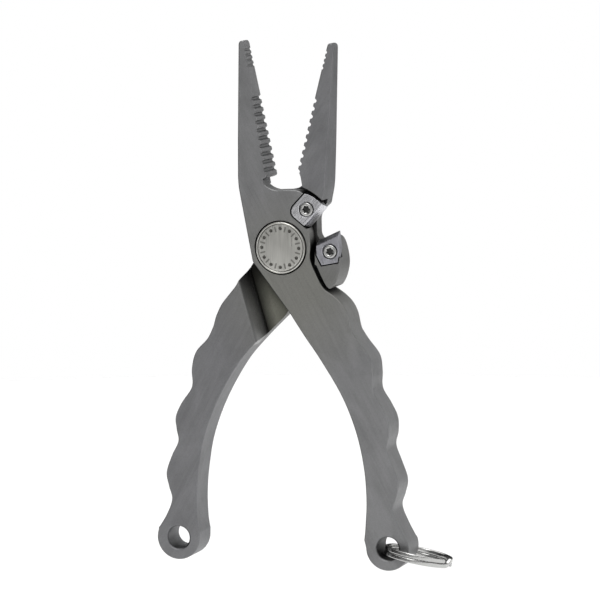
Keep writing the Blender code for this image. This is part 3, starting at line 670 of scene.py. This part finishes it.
def make_cutter(name, outline, line, sign, screw_at):
    """Flat carbide cutter, bevelled from the front face down to its cutting line."""
    obj = flat_solid(name, outline, CUTTER_FRONT, CUTTER_BACK)
    depth = CUTTER_BACK - 0.3
    bevel = [(0.0, depth), (sign * CUT_BEVEL, CUTTER_FRONT), (sign * CUT_BEVEL, -1.0),
             (-sign * 2.0, -1.0), (-sign * 2.0, depth)]
    cut(obj, prism_along("bevel", bevel, line[0], line[1], 3.0))
    round_edges(obj, 0.12, 2, 25.0)
    rim = 0.14
    wide = SCREW_HEAD_RADIUS + GAP
    pocket = [(0.0, -1.0), (wide + rim, -1.0), (wide + rim, CUTTER_FRONT - 0.01),
              (wide, CUTTER_FRONT + rim), (wide, 2.0), (SCREW_SHANK_RADIUS + GAP, 2.0),
              (SCREW_SHANK_RADIUS + GAP, 5.0), (0.0, 5.0)]
    cut(obj, turned_solid("pocket", pocket, screw_at, 64))
    return obj


def star_outline(centre, outer, inner, spin, lobes=6, steps=8):
    points = []
    for i in range(lobes * steps):
        wave = 0.5 + 0.5 * math.cos(2 * math.pi * i / steps)
        x, z = polar(inner + (outer - inner) * wave, spin + 360.0 * i / (lobes * steps))
        points.append((centre[0] + x, centre[1] + z))
    return points


def make_screw(name, centre, tail, spin):
    """Round-edged head with a six-lobe recess, and its shank."""
    front = CUTTER_FRONT - 0.05
    top = SCREW_HEAD_RADIUS
    profile = [(0.0, front + 0.1), (1.55, front + 0.04), (top - 0.55, front + 0.02)]
    for i in range(1, 6):
        angle = math.pi / 2 * i / 5
        profile.append((top - 0.45 + 0.45 * math.sin(angle),
                        front + 0.02 + 0.45 * (1 - math.cos(angle))))
    profile += [(top, front + 1.2), (SCREW_SHANK_RADIUS, front + 1.2),
                (SCREW_SHANK_RADIUS, tail - 0.3), (SCREW_SHANK_RADIUS - 0.3, tail),
                (0.0, tail)]
    obj = turned_solid(name, profile, centre, 64)
    mouth = [(0.0, -1.0), (1.52, -1.0), (1.52, front + 0.03), (1.2, front + 0.25),
             (0.0, front + 0.25)]
    cut(obj, flat_solid("drive", star_outline(centre, 1.38, 0.92, spin), -1.0, front + 0.95))
    cut(obj, turned_solid("mouth", mouth, centre, 48))
    return obj


# ---------------------------------------------------------------- lanyard ring

def ring_section():
    """Flat wire with well rounded corners."""
    half_w, half_h, corner = RING_WIRE_WIDTH / 2, RING_WIRE_HEIGHT / 2, 0.38
    points = []
    for x, z, start in ((1, 1, 0), (-1, 1, 90), (-1, -1, 180), (1, -1, 270)):
        centre = (x * (half_w - corner), z * (half_h - corner))
        points += arc(centre, corner, start, start + 90.0, 4)
    return points


def make_split_ring():
    """Two turns of flat wire; a joggle lifts the second turn over the first one's end."""
    joggle = 26.0
    last = 720.0 - joggle - 4.0
    steps = 230
    tilt = math.radians(RING_TILT)
    centre = Vector((EYE_CENTRE[0] + RING_OFFSET[0], MID_Y, EYE_CENTRE[1] + RING_OFFSET[1]))
    roll = math.radians(RING_ROLL)
    place = Matrix.Translation(centre) @ Matrix.Rotation(-tilt, 4, "Y")
    place = place @ Matrix.Rotation(roll, 4, "X")
    thickness = RING_PITCH + RING_WIRE_HEIGHT
    depth = ring_high.y - ring_low.y - thickness * abs(math.sin(roll))
    radius = depth / (2 * math.cos(roll)) - RING_WIRE_WIDTH / 2
    section = ring_section()
    work = bmesh.new()
    rings = []
    for i in range(steps + 1):
        degrees = last * i / steps
        rise = min(max((degrees - (360.0 - joggle)) / joggle, 0.0), 1.0)
        rise = rise * rise * (3 - 2 * rise)
        ends = min(1.0, 0.55 + 0.45 * min(i, steps - i) / 2)
        row = []
        for across, up in section:
            x, y = polar(radius + across * ends, degrees + 8.0)
            point = place @ Vector((x, y, up * ends + (rise - 0.5) * RING_PITCH))
            row.append(work.verts.new(point * MM))
        rings.append(row)
    count = len(section)
    for first, second in zip(rings, rings[1:]):
        for i in range(count):
            j = (i + 1) % count
            work.faces.new((first[i], first[j], second[j], second[i]))
    work.faces.new(rings[0][::-1])
    work.faces.new(rings[-1])
    bmesh.ops.recalc_face_normals(work, faces=work.faces)
    mesh = bpy.data.meshes.new("split_ring_fine")
    work.to_mesh(mesh)
    work.free()
    obj = bpy.data.objects.new("split_ring_fine", mesh)
    workshop.objects.link(obj)
    return obj


# ---------------------------------------------------------------- materials

class Nodes:
    """Short way to write a node tree around one Principled shader."""

    def __init__(self, name):
        self.material = bpy.data.materials.new(name)
        self.material.use_nodes = True
        self.tree = self.material.node_tree
        self.shader = self.tree.nodes["Principled BSDF"]
        place = self.tree.nodes.new("ShaderNodeTexCoord")
        self.coordinates = place.outputs["Object"]
        self.normal = place.outputs["Normal"]

    def set(self, socket, value):
        self.shader.inputs[socket].default_value = value

    def link(self, output, socket):
        self.tree.links.new(output, socket)

    def stretched(self, per_mm, turn=0.0):
        """Object coordinates with this many pattern steps per millimetre on each axis."""
        node = self.tree.nodes.new("ShaderNodeMapping")
        node.inputs["Scale"].default_value = [value / MM for value in per_mm]
        source = self.coordinates
        if turn:
            spin = self.tree.nodes.new("ShaderNodeMapping")
            spin.inputs["Rotation"].default_value = (0.0, math.radians(turn), 0.0)
            self.link(source, spin.inputs["Vector"])
            source = spin.outputs["Vector"]
        self.link(source, node.inputs["Vector"])
        return node.outputs["Vector"]

    def noise(self, vector, detail=3.0, roughness=0.55, distortion=0.0):
        node = self.tree.nodes.new("ShaderNodeTexNoise")
        node.inputs["Scale"].default_value = 1.0
        node.inputs["Detail"].default_value = detail
        node.inputs["Roughness"].default_value = roughness
        node.inputs["Distortion"].default_value = distortion
        self.link(vector, node.inputs["Vector"])
        return node.outputs["Fac"]

    def ramp(self, value, *stops):
        """Colour ramp; each stop is (position, grey or colour)."""
        node = self.tree.nodes.new("ShaderNodeValToRGB")
        elements = node.color_ramp.elements
        while len(elements) < len(stops):
            elements.new(0.5)
        for element, (position, colour) in zip(elements, stops):
            element.position = position
            if isinstance(colour, (int, float)):
                colour = (colour, colour, colour)
            element.color = (*colour, 1.0)
        self.link(value, node.inputs["Fac"])
        return node.outputs["Color"]

    def range(self, value, low, high, to_low, to_high):
        node = self.tree.nodes.new("ShaderNodeMapRange")
        for socket, number in (("From Min", low), ("From Max", high),
                               ("To Min", to_low), ("To Max", to_high)):
            node.inputs[socket].default_value = number
        self.link(value, node.inputs["Value"])
        return node.outputs["Result"]

    def mix(self, factor, first, second, blend="MIX"):
        node = self.tree.nodes.new("ShaderNodeMix")
        node.data_type = "RGBA"
        node.blend_type = blend
        for source, socket in ((factor, node.inputs[0]), (first, node.inputs[6]),
                               (second, node.inputs[7])):
            if isinstance(source, bpy.types.NodeSocket):
                self.link(source, socket)
            else:
                socket.default_value = source
        return node.outputs[2]

    def math(self, operation, first, second):
        node = self.tree.nodes.new("ShaderNodeMath")
        node.operation = operation
        for source, socket in ((first, node.inputs[0]), (second, node.inputs[1])):
            if isinstance(source, bpy.types.NodeSocket):
                self.link(source, socket)
            else:
                socket.default_value = source
        return node.outputs[0]

    def distance(self, centre_mm, flatten=(1.0, 0.0, 1.0)):
        """Distance in millimetres from a point, along the kept axes."""
        shift = self.tree.nodes.new("ShaderNodeVectorMath")
        shift.operation = "SUBTRACT"
        self.link(self.coordinates, shift.inputs[0])
        shift.inputs[1].default_value = [value * MM for value in centre_mm]
        keep = self.tree.nodes.new("ShaderNodeVectorMath")
        keep.operation = "MULTIPLY"
        self.link(shift.outputs[0], keep.inputs[0])
        keep.inputs[1].default_value = flatten
        length = self.tree.nodes.new("ShaderNodeVectorMath")
        length.operation = "LENGTH"
        self.link(keep.outputs[0], length.inputs[0])
        return self.math("DIVIDE", length.outputs["Value"], MM)

    def along(self, origin_mm, direction):
        """Distance in millimetres from a point, measured along a direction."""
        shift = self.tree.nodes.new("ShaderNodeVectorMath")
        shift.operation = "SUBTRACT"
        self.link(self.coordinates, shift.inputs[0])
        shift.inputs[1].default_value = [value * MM for value in origin_mm]
        node = self.tree.nodes.new("ShaderNodeVectorMath")
        node.operation = "DOT_PRODUCT"
        self.link(shift.outputs[0], node.inputs[0])
        node.inputs[1].default_value = direction
        return self.math("DIVIDE", node.outputs["Value"], MM)

    def crevice_shade(self, reach_mm, darkest):
        """Painted shade: grey that falls to darkest in gaps narrower than the reach."""
        node = self.tree.nodes.new("ShaderNodeAmbientOcclusion")
        node.inputs["Distance"].default_value = reach_mm * MM
        node.samples = 8
        return self.ramp(node.outputs["AO"], (0.22, darkest), (0.5, 0.4), (0.85, 1.0))

    def rim_shade(self, start, full):
        """Painted shade, not wear: picks roundings facing left in front and right behind.

        It reads the object's own normals, so it turns with the piece.
        """
        split = self.tree.nodes.new("ShaderNodeSeparateXYZ")
        self.link(self.normal, split.inputs[0])
        diagonal = self.math("MULTIPLY", split.outputs["X"], split.outputs["Y"])
        return self.range(diagonal, start, full, 0.0, 0.9)

    def depth_shade(self, colour, start_mm, full_mm, shade_colour, most=0.9):
        """Painted shade in whatever is cut deeper than the face, measured along Y."""
        split = self.tree.nodes.new("ShaderNodeSeparateXYZ")
        self.link(self.coordinates, split.inputs[0])
        depth = self.math("DIVIDE", split.outputs["Y"], MM)
        return self.mix(self.range(depth, start_mm, full_mm, 0.0, most), colour, (*shade_colour, 1.0))

    def bump(self, *layers):
        """Bump layers, each (height, depth in millimetres, strength)."""
        normal = None
        for height, depth_mm, strength in layers:
            node = self.tree.nodes.new("ShaderNodeBump")
            node.inputs["Distance"].default_value = depth_mm * MM
            node.inputs["Strength"].default_value = strength
            self.link(height, node.inputs["Height"])
            if normal:
                self.link(normal, node.inputs["Normal"])
            normal = node.outputs["Normal"]
        self.link(normal, self.shader.inputs["Normal"])


RIM_COLOUR = (0.04, 0.04, 0.041, 1.0)
RECESS_GAIN = 2.2


def recess_shade(n, colour):
    """Painted shade in the rear half's lap, darkest along the foot of its ramp.

    It stands for unpolished metal and for the soft shadow of the open pose, and it stays
    the same at every pose.
    """
    foot, top = ramp_line(0.0)
    run = Vector((top[0] - foot[0], top[1] - foot[1])).normalized()
    across = n.along((-foot[0], 0.0, foot[1]), (run.y, 0.0, run.x))
    shade = n.ramp(n.range(across, -4.6, 9.4, 0.0, 1.0), (0.0, (0.8, 0.8, 0.8)),
                   (0.09, (0.95, 0.95, 0.95)), (0.2, (0.6, 0.6, 0.59)),
                   (0.31, (0.04, 0.04, 0.038)), (0.4, (0.16, 0.16, 0.14)),
                   (0.62, (0.42, 0.42, 0.37)), (1.0, (0.24, 0.24, 0.21)))
    shade = n.mix(1.0, shade, (RECESS_GAIN, RECESS_GAIN, RECESS_GAIN, 1.0), "MULTIPLY")
    shade = n.mix(n.range(n.along((0.0, 0.0, -21.0), (0.0, 0.0, 1.0)), 0.0, 13.0, 0.0, 0.9),
                  shade, (0.03, 0.03, 0.028, 1.0))
    depth = n.range(n.along((0.0, 0.0, 0.0), (0.0, 1.0, 0.0)), BODY_FRONT + 0.25,
                    BODY_FRONT + 1.6, 0.0, 1.0)
    behind = n.range(n.along((0.0, 0.0, 0.0), (0.0, 1.0, 0.0)), LAP_BACK + 0.1,
                     LAP_BACK + 0.5, 1.0, 0.0)
    left = n.range(n.along((0.0, 0.0, 0.0), (1.0, 0.0, 0.0)), 6.0, 8.0, 1.0, 0.0)
    low = n.range(n.along((0.0, 0.0, 0.0), (0.0, 0.0, 1.0)), 4.0, 8.0, 1.0, 0.0)
    within = n.range(across, -4.8, -4.4, 0.0, 1.0)
    mask = n.math("MULTIPLY", n.math("MULTIPLY", depth, behind), n.math("MULTIPLY", left, low))
    mask = n.math("MULTIPLY", mask, within)
    return n.mix(mask, colour, n.mix(1.0, colour, shade, "MULTIPLY"))


def titanium(name, base, warm, lean, recess=False):
    """Bead-blasted titanium: fine grain, mottling, faint draw lines, and painted shade on rims and
    in narrow gaps.
    """
    n = Nodes(name)
    n.set("Metallic", 1.0)
    mottle = n.noise(n.stretched((0.12, 0.12, 0.07), lean), 5.0, 0.6, 0.4)
    lines = n.noise(n.stretched((1.5, 1.5, 0.05), lean), 3.0, 0.6)
    grain = n.noise(n.stretched((5.5, 5.5, 5.5)), 2.0, 0.6)
    pits = n.noise(n.stretched((1.7, 1.7, 1.7)), 5.0, 0.7)
    colour = n.ramp(mottle, (0.3, [c * 0.86 for c in base]), (0.5, base),
                    (0.72, [c * 1.12 for c in base]))
    hub = n.range(n.distance((4.0, 0.0, -12.0)), 8.0, 34.0, 0.75, 0.0)
    colour = n.mix(hub, colour, (*warm, 1.0))
    colour = n.mix(0.25, colour, n.ramp(lines, (0.3, 0.74), (0.5, 1.0), (0.7, 1.16)), "MULTIPLY")
    colour = n.mix(0.5, colour, n.ramp(grain, (0.3, 0.7), (0.55, 1.0), (0.75, 1.1)), "MULTIPLY")
    if recess:
        colour = recess_shade(n, colour)
    colour = n.mix(n.rim_shade(0.1, 0.38), colour, RIM_COLOUR)
    # Painted shade: colour falls towards black in narrow gaps.
    colour = n.mix(1.0, colour, n.crevice_shade(5.5, 0.02), "MULTIPLY")
    n.link(colour, n.shader.inputs["Base Color"])
    n.link(n.range(pits, 0.3, 0.7, 0.46, 0.6), n.shader.inputs["Roughness"])
    n.bump((pits, 0.02, 0.5), (lines, 0.01, 0.25), (grain, 0.01, 0.5))
    return n.material


def brushed(name, base, streaks, roughness, depth=0.01, turn=0.0):
    """Brushed metal: long fine scratches one way, with soft patches."""
    n = Nodes(name)
    n.set("Metallic", 1.0)
    scratch = n.noise(n.stretched(streaks, turn), 4.0, 0.65)
    patch = n.noise(n.stretched((0.25, 0.25, 0.25)), 3.0, 0.5, 0.6)
    colour = n.ramp(patch, (0.3, [c * 0.9 for c in base]), (0.7, [min(1.0, c * 1.08) for c in base]))
    colour = n.mix(0.7, colour, n.ramp(scratch, (0.3, 0.72), (0.5, 1.0), (0.72, 1.15)), "MULTIPLY")
    n.link(colour, n.shader.inputs["Base Color"])
    n.link(n.range(scratch, 0.3, 0.7, roughness[0], roughness[1]), n.shader.inputs["Roughness"])
    n.bump((scratch, depth, 0.6))
    return n.material


def pivot_face(name):
    """Brushed head: upright scratches, and painted shade in the ring of marks and the groove."""
    n = Nodes(name)
    n.set("Metallic", 1.0)
    base = (0.50, 0.495, 0.465)
    scratch = n.noise(n.stretched((2.6, 2.6, 0.10)), 4.0, 0.65)
    fine = n.noise(n.stretched((9.0, 9.0, 0.4)), 2.0, 0.6)
    patch = n.noise(n.stretched((0.16, 0.16, 0.07)), 2.0, 0.5)
    colour = n.ramp(patch, (0.32, [c * 0.86 for c in base]), (0.68, [c * 1.14 for c in base]))
    colour = n.mix(0.6, colour, n.ramp(scratch, (0.3, 0.76), (0.5, 1.0), (0.72, 1.14)), "MULTIPLY")
    # Painted shade in the marks and the groove, which are cut deeper than the face.
    colour = n.depth_shade(colour, 0.07, 0.16, (0.05, 0.048, 0.042), 0.85)
    n.link(colour, n.shader.inputs["Base Color"])
    n.link(n.range(scratch, 0.3, 0.7, 0.26, 0.42), n.shader.inputs["Roughness"])
    n.bump((scratch, 0.012, 0.5), (fine, 0.004, 0.4))
    return n.material


def chrome(name, base, grain_mm, roughness, shade_depth=None):
    """Bright steel with short handling scratches and faint haze, and painted shade in recesses when
    asked for.
    """
    n = Nodes(name)
    n.set("Metallic", 1.0)
    haze = n.noise(n.stretched((0.5, 0.5, 0.5)), 4.0, 0.6, 0.5)
    scratch = n.noise(n.stretched((0.4 / grain_mm, 4.0 / grain_mm, 1.4 / grain_mm), 24.0), 4.0, 0.7)
    colour = n.ramp(haze, (0.3, [c * 0.85 for c in base]), (0.7, base))
    colour = n.mix(0.35, colour, n.ramp(scratch, (0.25, 0.7), (0.5, 1.0)), "MULTIPLY")
    # Painted shade, near black, in recesses cut deeper than the face.
    if shade_depth:
        colour = n.depth_shade(colour, *shade_depth, (0.02, 0.02, 0.02))
    n.link(colour, n.shader.inputs["Base Color"])
    n.link(n.range(haze, 0.3, 0.7, roughness[0], roughness[1]), n.shader.inputs["Roughness"])
    n.bump((scratch, 0.004, 0.4))
    return n.material


# ---------------------------------------------------------------- pieces

# Both halves are one titanium; the rear half's darker base and tint are painted shade.
front_titanium = titanium("titanium_front", (0.241, 0.242, 0.245), (0.227, 0.226, 0.203), 28.0)
rear_titanium = titanium("titanium_rear", (0.214, 0.215, 0.221), (0.200, 0.199, 0.182), -28.0,
                         recess=True)
head_metal = pivot_face("pivot_head")
nut_metal = brushed("pivot_nut_metal", (0.40, 0.40, 0.38), (0.25, 3.0, 3.0), (0.3, 0.42))
# Both cutters are one carbide; the upper one's lighter grey and the lower one's darker grey are
# painted light and shade.
upper_carbide = brushed("carbide_upper", (0.62, 0.62, 0.64), (3.2, 3.2, 0.3), (0.22, 0.36),
                        turn=-40.0)
lower_carbide = brushed("carbide_lower", (0.40, 0.40, 0.43), (3.2, 3.2, 0.3), (0.26, 0.4),
                        turn=10.0)
# The screws' steel carries painted shade in its drive recesses.
screw_steel = chrome("screw_steel", (0.5, 0.5, 0.49), 1.0, (0.24, 0.38), (0.62, 0.85))
ring_steel = chrome("ring_steel", (0.52, 0.52, 0.51), 1.2, (0.14, 0.28))
spring_metal = brushed("spring_wire", (0.32, 0.32, 0.33), (0.4, 5.0, 0.4), (0.26, 0.4))
bronze_metal = brushed("bronze_turned", (0.50, 0.31, 0.14), (4.0, 0.5, 4.0), (0.3, 0.45))
pin_steel = chrome("pin_steel", (0.55, 0.55, 0.54), 0.8, (0.22, 0.36))

finish_piece(make_front_half(), front_titanium, "front_body", "titanium", "front_half")
finish_piece(make_rear_half(), rear_titanium, "rear_body", "titanium", "rear_half")
finish_piece(make_pivot_bolt(), head_metal, "front_body", "pivot_steel", "pivot_bolt")
finish_piece(make_pivot_nut(), nut_metal, "front_body", "pivot_steel", "pivot_nut")
finish_piece(make_cutter("upper_cutter_fine", upper_cutter_outline(),
                         shifted_line(cutting_line(0.0), 0.1), 1, UPPER_SCREW_AT),
             upper_carbide, "front_body", "carbide", "upper_cutter")
finish_piece(make_cutter("lower_cutter_fine", lower_cutter_outline(),
                         shifted_line(cutting_line(OPEN_ANGLE), -0.1), -1, LOWER_SCREW_AT),
             lower_carbide, "rear_body", "carbide", "lower_cutter")
finish_piece(make_screw("upper_screw_fine", UPPER_SCREW_AT, 5.6, 0.0), screw_steel, "front_body",
             "polished_steel", "upper_cutter_screw")
finish_piece(make_screw("lower_screw_fine", LOWER_SCREW_AT, 6.6, 23.0), screw_steel, "rear_body",
             "polished_steel", "lower_cutter_screw")
finish_piece(make_split_ring(), ring_steel, "ring_body", "ring_steel", "split_ring",
             smooth_angle=50.0)

for node, material in (("torsion_spring", spring_metal), ("head_key_pin", pin_steel),
                       ("rear_bushing", bronze_metal), ("middle_thrust_washer", bronze_metal),
                       ("rear_thrust_washer", bronze_metal)):
    kept = frame["nodes"][node]
    kept.data.materials.clear()
    kept.data.materials.append(material)

bpy.data.collections.remove(workshop)


# ---------------------------------------------------------------- studio

WORLD_FRONT = 0.6
WORLD_BACK = 0.06
WORLD_LEFT = 0.2
SUN_STRENGTH = 2.6
FLOOR_DROP = 20.0          # millimetres below the hanging ring
FLOOR_RADIUS = 0.7
CAMERA_AIM = (0.0068, 0.0001, -0.0171)
CAMERA_TOWARDS = (0.31098, -0.94292, 0.11913)
CAMERA_RIGHT = (0.949847, 0.312685, -0.004596)
CAMERA_DISTANCE = 1.3
CAMERA_LENS = 236.34


def area_light(name, place, aim, size, power, colour=(1.0, 1.0, 1.0)):
    light = bpy.data.lights.new(name, "AREA")
    light.shape = "DISK"
    light.size = size
    light.energy = power
    light.color = colour
    obj = bpy.data.objects.new(name, light)
    obj.location = place
    obj.rotation_euler = (Vector(place) - Vector(aim)).to_track_quat("Z", "Y").to_euler()
    bpy.context.scene.collection.objects.link(obj)


def overhead_light(strength):
    """Even light from above that reaches the whole floor alike."""
    light = bpy.data.lights.new("overhead", "SUN")
    light.energy = strength
    light.angle = math.radians(70.0)
    obj = bpy.data.objects.new("overhead", light)
    obj.rotation_euler = (math.radians(-14.0), math.radians(-8.0), 0.0)
    bpy.context.scene.collection.objects.link(obj)


def make_floor():
    """Pale matt floor, low enough for the lanyard ring to hang straight down over it."""
    hanging = math.hypot(*RING_OFFSET) + (ring_high.y - ring_low.y) / 2
    floor_z = EYE_CENTRE[1] - hanging - FLOOR_DROP
    mesh = bpy.data.meshes.new("studio_floor")
    work = bmesh.new()
    bmesh.ops.create_circle(work, cap_ends=True, segments=96, radius=FLOOR_RADIUS)
    bmesh.ops.translate(work, verts=work.verts, vec=(0.0, 0.0, floor_z * MM))
    work.to_mesh(mesh)
    work.free()
    n = Nodes("studio_floor")
    n.set("Roughness", 0.85)
    n.link(n.ramp(n.noise(n.stretched((0.02, 0.02, 0.02))), (0.3, 0.90), (0.7, 0.93)),
           n.shader.inputs["Base Color"])
    mesh.materials.append(n.material)
    floor = bpy.data.objects.new("studio_floor", mesh)
    bpy.context.scene.collection.objects.link(floor)


def make_world():
    """White backdrop for the camera only; reflections and light see a dimmer, uneven world."""
    world = bpy.data.worlds.new("studio")
    bpy.context.scene.world = world
    world.use_nodes = True
    tree = world.node_tree
    tree.nodes.clear()
    direction = tree.nodes.new("ShaderNodeTexCoord")
    split = tree.nodes.new("ShaderNodeSeparateXYZ")
    tree.links.new(direction.outputs["Generated"], split.inputs[0])
    ahead = tree.nodes.new("ShaderNodeMapRange")
    ahead.inputs["From Min"].default_value = -0.9
    ahead.inputs["From Max"].default_value = 0.5
    ahead.inputs["To Min"].default_value = WORLD_FRONT
    ahead.inputs["To Max"].default_value = WORLD_BACK
    tree.links.new(split.outputs["Y"], ahead.inputs["Value"])
    side = tree.nodes.new("ShaderNodeMapRange")
    side.inputs["From Min"].default_value = -0.95
    side.inputs["From Max"].default_value = 0.1
    side.inputs["To Min"].default_value = WORLD_LEFT
    side.inputs["To Max"].default_value = 1.0
    tree.links.new(split.outputs["X"], side.inputs["Value"])
    level = tree.nodes.new("ShaderNodeMath")
    level.operation = "MULTIPLY"
    tree.links.new(ahead.outputs["Result"], level.inputs[0])
    tree.links.new(side.outputs["Result"], level.inputs[1])
    soft = tree.nodes.new("ShaderNodeBackground")
    tree.links.new(level.outputs[0], soft.inputs["Strength"])
    paper = tree.nodes.new("ShaderNodeBackground")
    paper.inputs["Strength"].default_value = 1.0
    paper.inputs["Color"].default_value = (1.0, 1.0, 1.0, 1.0)
    rays = tree.nodes.new("ShaderNodeLightPath")
    mix = tree.nodes.new("ShaderNodeMixShader")
    out = tree.nodes.new("ShaderNodeOutputWorld")
    tree.links.new(rays.outputs["Is Camera Ray"], mix.inputs["Fac"])
    tree.links.new(soft.outputs[0], mix.inputs[1])
    tree.links.new(paper.outputs[0], mix.inputs[2])
    tree.links.new(mix.outputs[0], out.inputs["Surface"])


def make_camera():
    """Long lens from the right and slightly above."""
    aim = Vector(CAMERA_AIM)
    towards = Vector(CAMERA_TOWARDS).normalized()
    right = Vector(CAMERA_RIGHT)
    right = (right - towards * right.dot(towards)).normalized()
    up = towards.cross(right)
    data = bpy.data.cameras.new("camera")
    data.lens = CAMERA_LENS
    data.sensor_width = 36.0
    data.clip_start = 0.01
    camera = bpy.data.objects.new("camera", data)
    turn = Matrix((right, up, towards)).transposed()
    camera.matrix_world = Matrix.Translation(aim + towards * CAMERA_DISTANCE) @ turn.to_4x4()
    bpy.context.scene.collection.objects.link(camera)
    bpy.context.scene.camera = camera


bpy.context.scene.view_settings.view_transform = "Standard"
make_floor()
make_world()
overhead_light(SUN_STRENGTH)
area_light("key", (-0.1, -1.0, 0.85), (0.0, 0.0, 0.0), 0.7, 6.5)
area_light("fill", (1.2, -0.25, 0.15), (0.0, 0.0, -0.02), 1.2, 4.0)
area_light("side", (0.75, 1.0, 0.35), (0.0, 0.0, -0.02), 1.2, 3.4)
make_camera()
